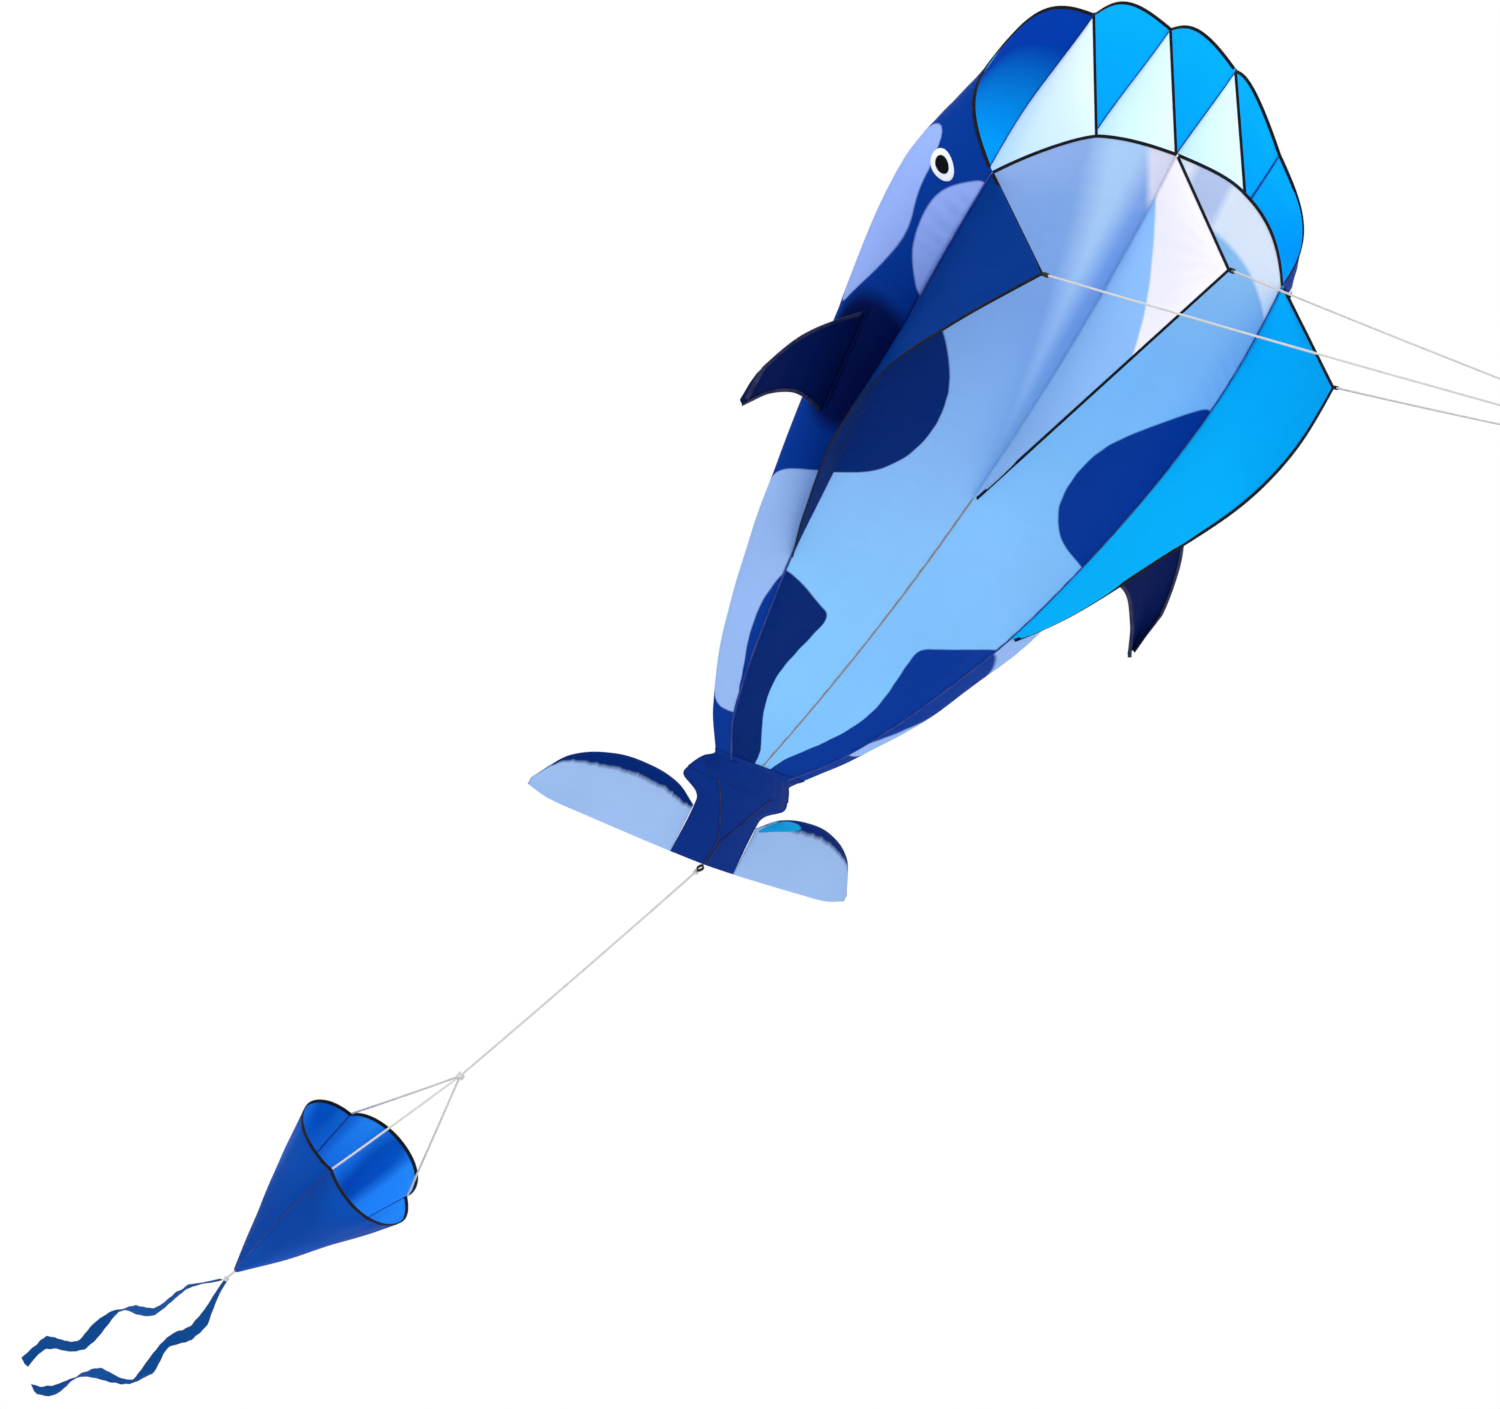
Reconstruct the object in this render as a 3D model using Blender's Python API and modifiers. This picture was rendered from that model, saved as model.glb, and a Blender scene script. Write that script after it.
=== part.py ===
"""Frameless whale-shaped parafoil kite with three keels, a tail line and a cone drogue.

Metres, +Z up. The origin is the tow ring. The mouth faces -Y, the wind blows along +Y,
and the kite's own left is +X. The canopy hangs in its flying attitude, nose up.
"""

import math

import bmesh
import bpy
from mathutils import Matrix, Vector

# Canopy
BODY_LENGTH = 1.70
MOUTH_HALF_WIDTH = 0.44
MOUTH_OVERHANG = 0.227
MOUTH_HEIGHT = 0.216
NOSE_SWELL = 0.074
BELLY_RISE = 0.347
LOWER_LIP_SWEEP = 0.19
UPPER_LIP_SWEEP = 0.17
TOP_SEAM_DROP = 0.02
TOP_CROWN = 0.30
TOP_SCALLOP = 0.04
BELLY_SCALLOP = 0.012
FLANK_BULGE = 0.125
TOP_WIDTH_SHARE = 0.955
LOWER_LIP_CURVE = 3.0
CROWN_CURVE = 2.5
OVERHANG_FADE = 4.0
SCALLOP_FADE = 1.5
INNER_RIB_SHARE = 0.52
RIB_END = 0.92
FLIGHT_PITCH = math.radians(49.4)
LOWER_LIP_CENTRE = (0.0, 1.79, 1.37)

# Fabric and trim
FABRIC = 0.0008
SEAM_GAP = 0.0012
RIB_GAP = 1.5 * SEAM_GAP
KEEL_DROP = 2.0 * SEAM_GAP
CLEARANCE = 0.0004
BINDING_RADIUS = 0.003
LIP_SETBACK = 3.0 * BINDING_RADIUS
CORD_RADIUS = 0.0025
TAB_RADIUS = 0.006

# Eyes: place and half-sizes up the flank and along it, as shares, and how far they stand off
EYE_PLACE = (0.28, 0.067)
EYE_REACH = (0.105, 0.0165)
PUPIL_REACH = (0.060, 0.008)
EYE_LIFT = 0.006
PUPIL_LIFT = 0.009
PATCH_STEP = 0.004

# Keels
MIDDLE_KEEL_DEPTH = 0.35
MIDDLE_KEEL_TIP = 0.15
MIDDLE_KEEL_END = 0.916
SIDE_KEEL_DEPTH = 0.33
SIDE_KEEL_TIP = 0.316
SIDE_KEEL_END = 1.20
KEEL_LEAD_INSET = 0.014
KEEL_SHEET_END = 0.92

# Fins
FIN_CHORD = 0.26
FIN_SPAN = 0.265
FIN_SWEEP = 0.27
FIN_RISE = {"right": -0.065, "left": 0.03}
FIN_ROOT_START = {"right": 0.52, "left": 0.66}
FIN_TRAIL = {"right": -0.02, "left": 0.11}
FIN_FOLD = 0.009
FIN_THICKNESS = 0.0012
FIN_HEIGHT_SHARE = 0.22
# Outline points: shares of the span, sweep, trail and chord, and whether the corner is rounded
FIN_OUTLINE = (
    (0.0, 0.0, 0.0, 0.0, False), (0.55, 0.22, 0.3, 0.0, True), (0.96, 0.62, 0.8, 0.0, True),
    (1.0, 1.0, 1.0, 0.0, False), (0.74, 0.86, 0.75, 0.0, True), (0.40, 0.82, 0.35, 0.0, True),
    (0.0, 0.0, 0.0, 1.0, False),
)

# Tail
TAIL_LENGTH = 0.235
TAIL_STOCK_DEPTH = 0.05
TAIL_PANEL_HALF_WIDTH = 0.092
TAIL_HINGE_GAP = 0.012
TAIL_DIP = 0.006
FLUKE_SPAN = 0.385
FLUKE_TIP_RISE = 0.09
FLUKE_THICKNESS = 0.036
FLUKE_HINGE_GAP = 0.008
FLUKE_RISE_CURVE = 1.3
TAIL_TAPER_CURVE = 1.5

# Drogue
TAIL_LINE_LENGTH = 0.85
TAIL_LINE_DROP = math.radians(18.0)
DROGUE_LINE_REACH = 0.34
LINE_ANGLE = math.radians(90.0)
TAIL_LOOP_RADIUS = 0.008
TAIL_LOOP_WIRE = 0.0018
TAIL_LOOP_STAND_OFF = 0.002
DROGUE_RADIUS = 0.18
DROGUE_LENGTH = 0.45
DROGUE_TIP_RADIUS = 0.006
DROGUE_LOBES = 3
DROGUE_LOBE_DEPTH = 0.13
APEX_CORD_LENGTH = 0.035
DROGUE_TAPER_CURVE = 1.1
KNOT_RADIUS = 0.011
SMALL_KNOT = 0.007
RIBBON_LENGTH = 0.66
RIBBON_WIDTH = 0.030
RIBBON_GAP = 0.002
RIBBON_GATHER = 0.35
RIBBON_FLUTTER = 0.022
RIBBON_TURNS = 2.5
RIBBON_LIFT = math.radians(15.5)
RIBBON_SPREAD = {"upper": math.radians(1.8), "lower": math.radians(-1.8)}

# Tow point
RING_RADIUS = 0.016
RING_WIRE = 0.003
LINE_FAN = math.radians(35.0)

MOUTH_REACH = TAIL_LINE_LENGTH + DROGUE_LINE_REACH
DROGUE_END = MOUTH_REACH + DROGUE_LENGTH
APEX_KNOT = DROGUE_END + APEX_CORD_LENGTH
TAIL_LOOP_REACH = TAIL_LOOP_RADIUS + TAIL_LOOP_WIRE + TAIL_LOOP_STAND_OFF
LINE_START = TAIL_LOOP_REACH + TAIL_LOOP_RADIUS + TAIL_LOOP_WIRE + SMALL_KNOT + CLEARANCE

# Faces across and along each sheet
LENGTHWISE = 20
TOP_ACROSS = 5
BELLY_ACROSS = 8
FLANK_ACROSS = 5
RIB_ACROSS = 3
RIB_PORTS = ((1, 5), (1, 9), (1, 13))
KEEL_GRID = (4, 16)
TAIL_GRID = (10, 10)
FLUKE_GRID = (12, 8)
RIBBON_GRID = (2, 48)
LIP_STEPS = 24
CORNER_STEPS = 6
DROGUE_STEPS = 48
DROGUE_CUTS = 5
RING_STEPS = 24
SIDES = {"right": -1.0, "left": 1.0}
# Each ribbon's side of the knot, its wave there, and how far it swings out and sags in metres
RIBBON_WAVES = {"upper": (-1.0, 0.0, 0.01, 0.0), "lower": (1.0, 2.2, 0.04, 0.07)}
# Shares of the tail's length, and its half-width there in metres
TAIL_WIDTH_STATIONS = (
    (0.0, 0.125), (0.12, 0.145), (0.26, 0.155), (0.36, 0.11), (0.44, 0.092), (1.0, 0.092),
)
# Shares of the fluke's span, and how far down the tail each edge is, as a share of its length
FLUKE_LEAD_STATIONS = ((0.0, 0.50), (0.15, 0.36), (0.35, 0.30), (0.6, 0.33), (0.85, 0.52), (1.0, 0.86))
FLUKE_TRAIL_STATIONS = ((0.0, 1.0), (0.6, 0.99), (0.85, 0.98), (1.0, 0.93))

# Shares of the body length, and the half-width there as a share of the mouth's
WIDTH_STATIONS = (
    (0.0, 1.0), (0.30, 1.02), (0.65, 0.81), (0.82, 0.60), (0.94, 0.38), (1.0, 0.19),
)
# Shares of the body length, and the depth there as a share of the deepest section
DEPTH_STATIONS = (
    (0.0, 0.745), (0.13, 1.0), (0.32, 0.98), (0.60, 0.74), (0.82, 0.44), (1.0, 0.20),
)
# Shares of the body length, and how much of the full flank bulge is left there
BULGE_STATIONS = (
    (0.0, 0.55), (0.12, 1.1), (0.30, 1.08), (0.60, 0.85), (0.82, 0.62), (0.94, 0.40), (1.0, 0.33),
)
# Trailing edge of a side keel: shares from tip to end, depth share, outward flare in metres
SIDE_KEEL_STATIONS = (
    (0.0, 1.0, -0.005), (0.23, 0.70, 0.075), (0.41, 0.45, 0.115),
    (0.63, 0.22, 0.10), (0.86, 0.11, 0.05), (1.0, 0.03, 0.0),
)

FINISHES = {
    "flank_fabric": ((0.0, 0.045, 0.33), 0.55),
    "top_fabric": ((0.0, 0.045, 0.33), 0.55),
    "belly_fabric": ((0.36, 0.55, 0.90), 0.55),
    "rib_fabric": ((0.80, 0.90, 0.95), 0.6),
    "keel_blue_fabric": ((0.0, 0.06, 0.38), 0.55),
    "keel_white_fabric": ((0.85, 0.82, 0.90), 0.6),
    "fin_fabric": ((0.0, 0.012, 0.10), 0.55),
    "tail_fabric": ((0.0, 0.03, 0.25), 0.55),
    "fluke_fabric": ((0.60, 0.68, 0.92), 0.55),
    "drogue_fabric": ((0.0, 0.12, 0.55), 0.5),
    "ribbon_fabric": ((0.0, 0.10, 0.50), 0.5),
    "binding_tape": ((0.01, 0.01, 0.02), 0.8),
    "eye_white": ((0.90, 0.90, 0.95), 0.6),
    "eye_black": ((0.01, 0.01, 0.015), 0.6),
    "white_cord": ((0.80, 0.80, 0.78), 0.7),
    "webbing": ((0.02, 0.02, 0.03), 0.8),
    "steel": ((0.60, 0.60, 0.62), 0.3),
}


def clear_scene():
    for item in list(bpy.data.objects):
        bpy.data.objects.remove(item, do_unlink=True)


def make_collection(name):
    collection = bpy.data.collections.new(name)
    bpy.context.scene.collection.children.link(collection)
    return collection


def make_material(name):
    colour, roughness = FINISHES[name]
    material = bpy.data.materials.new(name)
    material.use_nodes = True
    shader = material.node_tree.nodes["Principled BSDF"]
    shader.inputs["Base Color"].default_value = (*colour, 1.0)
    shader.inputs["Roughness"].default_value = roughness
    shader.inputs["Metallic"].default_value = 1.0 if name == "steel" else 0.0
    return material


def make_empty(name, parent=None, location=(0.0, 0.0, 0.0), rotation=(0.0, 0.0, 0.0)):
    empty = bpy.data.objects.new(name, None)
    KITE.objects.link(empty)
    empty.parent = parent
    empty.location = location
    empty.rotation_euler = rotation
    return empty


def add_object(name, data, material, parent):
    item = bpy.data.objects.new(name, data)
    KITE.objects.link(item)
    item.parent = parent
    data.materials.append(MATERIALS[material])
    return item


def smooth_through(stations, at, column=1):
    """The value at a position on a smooth curve through stations, flat past both ends."""
    if at <= stations[0][0]:
        return stations[0][column]
    if at >= stations[-1][0]:
        return stations[-1][column]
    last = len(stations) - 1
    i = max(k for k in range(last) if stations[k][0] <= at)

    def slope(k):
        low = stations[max(k - 1, 0)]
        high = stations[min(k + 1, last)]
        return (high[column] - low[column]) / (high[0] - low[0])

    (start, end) = (stations[i], stations[i + 1])
    span = end[0] - start[0]
    f = (at - start[0]) / span
    rise = f * f * (3.0 - 2.0 * f)
    leave = f * (1.0 - f) ** 2 * span * slope(i)
    arrive = f * f * (1.0 - f) * span * slope(i + 1)
    return start[column] + rise * (end[column] - start[column]) + leave - arrive


# The canopy's own frame: x to the kite's left, y aft, z towards its back


def belly_height(y):
    return BELLY_RISE * (y / BODY_LENGTH) ** 2


def half_width(y):
    return MOUTH_HALF_WIDTH * smooth_through(WIDTH_STATIONS, y / BODY_LENGTH)


def depth(s):
    return (MOUTH_HEIGHT + NOSE_SWELL) * smooth_through(DEPTH_STATIONS, s)


def cell_arch(u):
    """0 on each rib and flank, 1 in the middle of each cell."""
    width = abs(u)
    if width < INNER_RIB_SHARE:
        return math.sin(math.pi * width / INNER_RIB_SHARE)
    return math.sin(math.pi * (width - INNER_RIB_SHARE) / (1.0 - INNER_RIB_SHARE))


def belly_point(u, s):
    y = s * BODY_LENGTH + LOWER_LIP_SWEEP * abs(u) ** LOWER_LIP_CURVE * (1.0 - s) ** 2
    z = belly_height(y) - BELLY_SCALLOP * cell_arch(u) * (1.0 - s)
    return Vector((u * half_width(y), y, z))


def top_point(u, s):
    fade = (1.0 - s) ** 2
    arch = TOP_SCALLOP * cell_arch(u) * (1.0 - s) ** SCALLOP_FADE
    y = s * BODY_LENGTH - MOUTH_OVERHANG * (1.0 - s) ** OVERHANG_FADE
    y += UPPER_LIP_SWEEP * abs(u) ** CROWN_CURVE * fade - 0.5 * arch * fade
    drop = TOP_SEAM_DROP + TOP_CROWN * depth(s) * min(1.0, 3.0 * s)
    base = belly_height(s * BODY_LENGTH) + depth(s)
    width = half_width(s * BODY_LENGTH + LOWER_LIP_SWEEP * abs(u) ** LOWER_LIP_CURVE * fade)
    return Vector((TOP_WIDTH_SHARE * u * width, y, base - drop * abs(u) ** CROWN_CURVE + arch))


def flank_point(side, v, s):
    """A point on a flank: v is 0 at the belly seam and 1 at the top seam."""
    low = belly_point(side, s)
    high = top_point(side, s)
    point = low.lerp(high, v)
    point.x += side * FLANK_BULGE * smooth_through(BULGE_STATIONS, s) * math.sin(math.pi * v)
    return point


def rib_point(u, v, s):
    return belly_point(u, s).lerp(top_point(u, s), v)


def make_sheet(name, surface, columns, rows, material, parent, holes=(), thickness=FABRIC):
    """A grid laid on surface(a, b), both 0 to 1, less the cells in holes, given a thickness."""
    mesh = bpy.data.meshes.new(name)
    bm = bmesh.new()
    bmesh.ops.create_grid(bm, x_segments=columns, y_segments=rows, size=0.5)
    for vert in bm.verts:
        vert.co = surface(vert.co.x + 0.5, vert.co.y + 0.5)
    if holes:
        bm.faces.ensure_lookup_table()
        cut = [bm.faces[row * columns + column] for (column, row) in holes]
        bmesh.ops.delete(bm, geom=cut, context="FACES")
    bm.to_mesh(mesh)
    bm.free()
    item = add_object(name, mesh, material, parent)
    solidify = item.modifiers.new("thickness", "SOLIDIFY")
    solidify.thickness = thickness
    solidify.offset = 0.0
    mesh.shade_smooth()
    return item


def make_tube(name, points, radius, material, parent, sides=2):
    curve = bpy.data.curves.new(name, "CURVE")
    curve.dimensions = "3D"
    curve.bevel_depth = radius
    curve.bevel_resolution = sides
    curve.use_fill_caps = True
    spline = curve.splines.new("POLY")
    spline.points.add(len(points) - 1)
    for (knot, point) in zip(spline.points, points):
        knot.co = (*point, 1.0)
    return add_object(name, curve, material, parent)


def make_line(name, start, end, radius, material, parent, knots=12):
    start = Vector(start)
    end = Vector(end)
    points = [start.lerp(end, k / (knots - 1)) for k in range(knots)]
    return make_tube(name, points, radius, material, parent)


def make_ball(name, centre, radius, material, parent, stretch=(1.0, 1.0, 1.0)):
    mesh = bpy.data.meshes.new(name)
    bm = bmesh.new()
    bmesh.ops.create_uvsphere(bm, u_segments=12, v_segments=8, radius=radius)
    bmesh.ops.scale(bm, vec=stretch, verts=bm.verts)
    bmesh.ops.translate(bm, vec=centre, verts=bm.verts)
    bm.to_mesh(mesh)
    bm.free()
    mesh.shade_smooth()
    return add_object(name, mesh, material, parent)


def share(low, high, f):
    return low + (high - low) * f


def build_skins(frame):
    start = LIP_SETBACK / BODY_LENGTH
    end = 1.0 - SEAM_GAP / BODY_LENGTH
    inset = SEAM_GAP / MOUTH_HALF_WIDTH
    tail_inset = SEAM_GAP / half_width(BODY_LENGTH)

    def across(low, high, a, b):
        edge = share(inset, tail_inset, b ** 4)
        return share(low + edge, high - edge, a)

    cells = {
        "right_outer": (-1.0, -INNER_RIB_SHARE),
        "right_inner": (-INNER_RIB_SHARE, 0.0),
        "left_inner": (0.0, INNER_RIB_SHARE),
        "left_outer": (INNER_RIB_SHARE, 1.0),
    }
    for (cell, (low, high)) in cells.items():
        make_sheet(
            f"top_panel_{cell}",
            lambda a, b: top_point(across(low, high, a, b), share(start, end, b)),
            TOP_ACROSS, LENGTHWISE, "top_fabric", frame,
        )
    for (name, (low, high)) in {"right": (-1.0, 0.0), "left": (0.0, 1.0)}.items():
        make_sheet(
            f"belly_panel_{name}",
            lambda a, b: belly_point(across(low, high, a, b), share(start, end, b)),
            BELLY_ACROSS, LENGTHWISE, "belly_fabric", frame,
        )
    for (name, side) in SIDES.items():
        def flank(a, b):
            s = share(start, end, b)
            edge = SEAM_GAP / (top_point(side, s) - belly_point(side, s)).length
            return flank_point(side, share(edge, 1.0 - edge, a), s)

        make_sheet(f"flank_panel_{name}", flank, FLANK_ACROSS, LENGTHWISE, "flank_fabric", frame)


def build_ribs(frame):
    places = {"right": -INNER_RIB_SHARE, "middle": 0.0, "left": INNER_RIB_SHARE}
    start = LIP_SETBACK / BODY_LENGTH
    for (name, u) in places.items():
        def rib(a, b):
            s = share(start, RIB_END, b)
            edge = RIB_GAP / (top_point(u, s) - belly_point(u, s)).length
            return rib_point(u, share(edge, 1.0 - edge, a), s)

        make_sheet(f"rib_{name}", rib, RIB_ACROSS, LENGTHWISE, "rib_fabric", frame, RIB_PORTS)


def side_keel_edge(side, f):
    """The trailing edge of a side keel, f from 0 at its tip to 1 at its end."""
    y = share(SIDE_KEEL_TIP, SIDE_KEEL_END, f)
    drop = SIDE_KEEL_DEPTH * smooth_through(SIDE_KEEL_STATIONS, f)
    flare = smooth_through(SIDE_KEEL_STATIONS, f, 2)
    return Vector((side * (half_width(y) + flare), y, belly_height(y) - drop))


def side_keel_root(side, f):
    y = share(LOWER_LIP_SWEEP, SIDE_KEEL_END, f)
    return Vector((side * half_width(y), y, belly_height(y) - KEEL_DROP))


def middle_keel_edge(f):
    y = share(MIDDLE_KEEL_TIP, MIDDLE_KEEL_END, f)
    drop = MIDDLE_KEEL_DEPTH * share(1.0, 0.03, f)
    return Vector((0.0, y, share(0.0, belly_height(MIDDLE_KEEL_END), f) - drop))


def middle_keel_root(f):
    y = share(0.0, MIDDLE_KEEL_END, f)
    return Vector((0.0, y, belly_height(y) - KEEL_DROP))


def build_keel(name, root, edge, material, frame):
    trim = 2.0 * BINDING_RADIUS

    def keel(a, b):
        f = share(KEEL_LEAD_INSET, KEEL_SHEET_END, b)
        top = root(f)
        low = edge(f)
        return top.lerp(low, a * (1.0 - trim / (low - top).length))

    make_sheet(f"keel_{name}", keel, *KEEL_GRID, material, frame)
    tip = edge(0.0)
    start = root(0.0).lerp(tip, 3.0 * BINDING_RADIUS / (tip - root(0.0)).length)
    (across, along) = KEEL_GRID
    points = [start.lerp(tip, k / across) for k in range(across)]
    points += [edge(k / along) for k in range(along + 1)]
    make_tube(f"keel_binding_{name}", points, BINDING_RADIUS, "binding_tape", frame)


def build_keels(frame):
    for (name, side) in SIDES.items():
        build_keel(
            name,
            lambda f: side_keel_root(side, f),
            lambda f: side_keel_edge(side, f),
            "keel_blue_fabric",
            frame,
        )
    build_keel("middle", middle_keel_root, middle_keel_edge, "keel_white_fabric", frame)


def build_mouth_bindings(frame):
    count = LIP_STEPS
    spare = 2.0 * BINDING_RADIUS / MOUTH_HALF_WIDTH
    lower = [belly_point(share(-1.0 + spare, 1.0 - spare, k / count), 0.0) for k in range(count + 1)]
    make_tube("lower_lip_binding", lower, BINDING_RADIUS, "binding_tape", frame)
    rise = 2.0 * BINDING_RADIUS / MOUTH_HEIGHT
    steps = CORNER_STEPS
    right = [flank_point(-1.0, share(rise, 1.0, k / steps), 0.0) for k in range(steps)]
    upper = [top_point(share(-1.0, 1.0, k / (2 * count)), 0.0) for k in range(2 * count + 1)]
    left = [flank_point(1.0, share(1.0, rise, k / steps), 0.0) for k in range(1, steps + 1)]
    make_tube("upper_lip_binding", right + upper + left, BINDING_RADIUS, "binding_tape", frame)


def flank_patch(name, side, reach, lift, material, frame):
    """A round patch on a flank at the eye's place, reach given as its (v, s) half-sizes."""
    mesh = bpy.data.meshes.new(name)
    bm = bmesh.new()
    bmesh.ops.create_circle(bm, cap_ends=True, cap_tris=True, segments=24, radius=1.0)
    for vert in bm.verts:
        v = EYE_PLACE[0] + reach[0] * vert.co.x
        s = EYE_PLACE[1] + reach[1] * vert.co.y
        point = flank_point(side, v, s)
        along_v = flank_point(side, v + PATCH_STEP, s) - point
        along_s = flank_point(side, v, s + PATCH_STEP) - point
        outward = along_v.cross(along_s).normalized()
        if outward.x * side < 0.0:
            outward.negate()
        vert.co = point + outward * lift
    bm.to_mesh(mesh)
    bm.free()
    item = add_object(name, mesh, material, frame)
    solidify = item.modifiers.new("thickness", "SOLIDIFY")
    solidify.thickness = FABRIC
    solidify.offset = 0.0
    return item


def build_eyes(frame):
    for (name, side) in SIDES.items():
        flank_patch(f"eye_white_{name}", side, EYE_REACH, EYE_LIFT, "eye_white", frame)
        flank_patch(f"eye_pupil_{name}", side, PUPIL_REACH, PUPIL_LIFT, "eye_black", frame)


def outline_object(name, outline, thickness, material, parent):
    """A flat piece from (x, y, smooth) outline points, as thick as given."""
    curve = bpy.data.curves.new(name, "CURVE")
    curve.dimensions = "2D"
    curve.fill_mode = "BOTH"
    curve.extrude = 0.5 * thickness
    curve.resolution_u = 6
    spline = curve.splines.new("BEZIER")
    spline.bezier_points.add(len(outline) - 1)
    spline.use_cyclic_u = True
    for (knot, (x, y, smooth)) in zip(spline.bezier_points, outline):
        knot.co = (x, y, 0.0)
        handle = "AUTO" if smooth else "VECTOR"
        knot.handle_left_type = handle
        knot.handle_right_type = handle
    return add_object(name, curve, material, parent)


def orient(empty, origin, across, along):
    """Places an empty at origin with +Y along and +X as near across as is square to it."""
    along = along.normalized()
    across = (across - along * across.dot(along)).normalized()
    turn = Matrix((across, along, across.cross(along))).transposed()
    empty.matrix_local = Matrix.Translation(origin) @ turn.to_4x4()


def fin_root(name):
    """The two ends of a fin's hinge line, just clear of the flank."""
    side = SIDES[name]
    start = FIN_ROOT_START[name] / BODY_LENGTH
    end = start + FIN_CHORD / BODY_LENGTH
    stand_off = Vector((side * FIN_FOLD, 0.0, 0.0))
    front = flank_point(side, FIN_HEIGHT_SHARE, start) + stand_off
    back = flank_point(side, FIN_HEIGHT_SHARE, end) + stand_off
    return (front, back)


def build_fins(frame):
    for (name, side) in SIDES.items():
        (front, back) = fin_root(name)
        hinge = make_empty(f"fin_{name}_hinge", frame)
        orient(hinge, front, Vector((1.0, 0.0, side * FIN_RISE[name] / FIN_SPAN)), back - front)
        trail = FIN_TRAIL[name]
        outline = [
            (side * FIN_SPAN * x, FIN_SWEEP * sweep + trail * trails + FIN_CHORD * chord, smooth)
            for (x, sweep, trails, chord, smooth) in FIN_OUTLINE
        ]
        outline_object(f"fin_{name}", outline, FIN_THICKNESS, "fin_fabric", hinge)


def make_pillow(name, surface, columns, rows, material, parent):
    """A closed inflated form: surface(a, b) gives its middle, its normal and half its depth."""
    mesh = bpy.data.meshes.new(name)
    bm = bmesh.new()
    bmesh.ops.create_grid(bm, x_segments=columns, y_segments=rows, size=0.5)
    lower = bm.faces[:]
    upper = bmesh.ops.duplicate(bm, geom=lower)["geom"]
    upper_verts = [part for part in upper if isinstance(part, bmesh.types.BMVert)]
    upper_faces = [part for part in upper if isinstance(part, bmesh.types.BMFace)]
    bmesh.ops.reverse_faces(bm, faces=lower)
    raised = set(upper_verts)
    rim = [edge for edge in bm.edges if edge.is_boundary]
    bmesh.ops.translate(bm, vec=(0.0, 0.0, 1.0), verts=upper_verts)
    bmesh.ops.bridge_loops(bm, edges=rim)
    for vert in bm.verts:
        (middle, normal, half) = surface(vert.co.x + 0.5, vert.co.y + 0.5)
        vert.co = middle + normal * (half if vert in raised else -half)
    bmesh.ops.recalc_face_normals(bm, faces=bm.faces)
    bm.to_mesh(mesh)
    bm.free()
    mesh.shade_smooth()
    return add_object(name, mesh, material, parent)


def fluke_dihedral(x):
    return FLUKE_TIP_RISE * (abs(x) / (TAIL_PANEL_HALF_WIDTH + FLUKE_SPAN)) ** FLUKE_RISE_CURVE


def tail_stock_surface(a, b):
    x_share = 2.0 * a - 1.0
    width = smooth_through(TAIL_WIDTH_STATIONS, b)
    y = b * TAIL_LENGTH
    rise = share(0.5 * TAIL_STOCK_DEPTH, 0.5 * FABRIC, b ** TAIL_TAPER_CURVE)
    half = 0.5 * FABRIC + rise * (1.0 - abs(x_share) ** 3)
    return (Vector((x_share * width, y, fluke_dihedral(x_share * width))), Vector((0, 0, 1)), half)


def fluke_surface(side, a, b):
    """Middle of a fluke: a from its root to its tip, b from leading to trailing edge."""
    x = TAIL_PANEL_HALF_WIDTH + FLUKE_HINGE_GAP + a * FLUKE_SPAN
    lead = TAIL_LENGTH * smooth_through(FLUKE_LEAD_STATIONS, a)
    trail = TAIL_LENGTH * smooth_through(FLUKE_TRAIL_STATIONS, a)
    y = share(lead, trail, b)
    fall = (1.0 - a ** 3) * (1.0 - abs(2.0 * b ** 0.7 - 1.0) ** 3)
    half = FABRIC + 0.5 * FLUKE_THICKNESS * fall
    return (Vector((side * x, y, fluke_dihedral(x))), Vector((0, 0, 1)), half)


def build_tail(frame):
    hinge = make_empty("tail_hinge", frame, tail_hinge_place())
    make_pillow("tail_stock", tail_stock_surface, *TAIL_GRID, "tail_fabric", hinge)
    for (name, side) in SIDES.items():
        make_pillow(
            f"fluke_{name}",
            lambda a, b: fluke_surface(side, a, b),
            *FLUKE_GRID, "fluke_fabric", hinge,
        )


def tail_hinge_place():
    middle = belly_height(BODY_LENGTH) + 0.5 * depth(1.0)
    return Vector((0.0, BODY_LENGTH + TAIL_HINGE_GAP, middle - TAIL_DIP))


def canopy_matrix():
    return Matrix.Translation(LOWER_LIP_CENTRE) @ Matrix.Rotation(-FLIGHT_PITCH, 4, "X")


def tail_end():
    """World place of the middle of the tail's trailing edge."""
    return canopy_matrix() @ (tail_hinge_place() + Vector((0.0, TAIL_LENGTH, 0.0)))


def rim_share(angle):
    """The drogue's radius at an angle, as a share: least at each of the three line tabs."""
    lobe = abs(math.sin(0.5 * DROGUE_LOBES * (angle - LINE_ANGLE)))
    return 1.0 - 2.0 * DROGUE_LOBE_DEPTH * (1.0 - lobe)


def rim_point(angle, f=0.0):
    """A point on the drogue: f is 0 at its mouth and 1 at its tip."""
    radius = share(DROGUE_RADIUS, DROGUE_TIP_RADIUS, f ** DROGUE_TAPER_CURVE)
    radius *= share(rim_share(angle), 1.0, f)
    y = MOUTH_REACH + f * DROGUE_LENGTH
    return Vector((radius * math.cos(angle), y, radius * math.sin(angle)))


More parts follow.
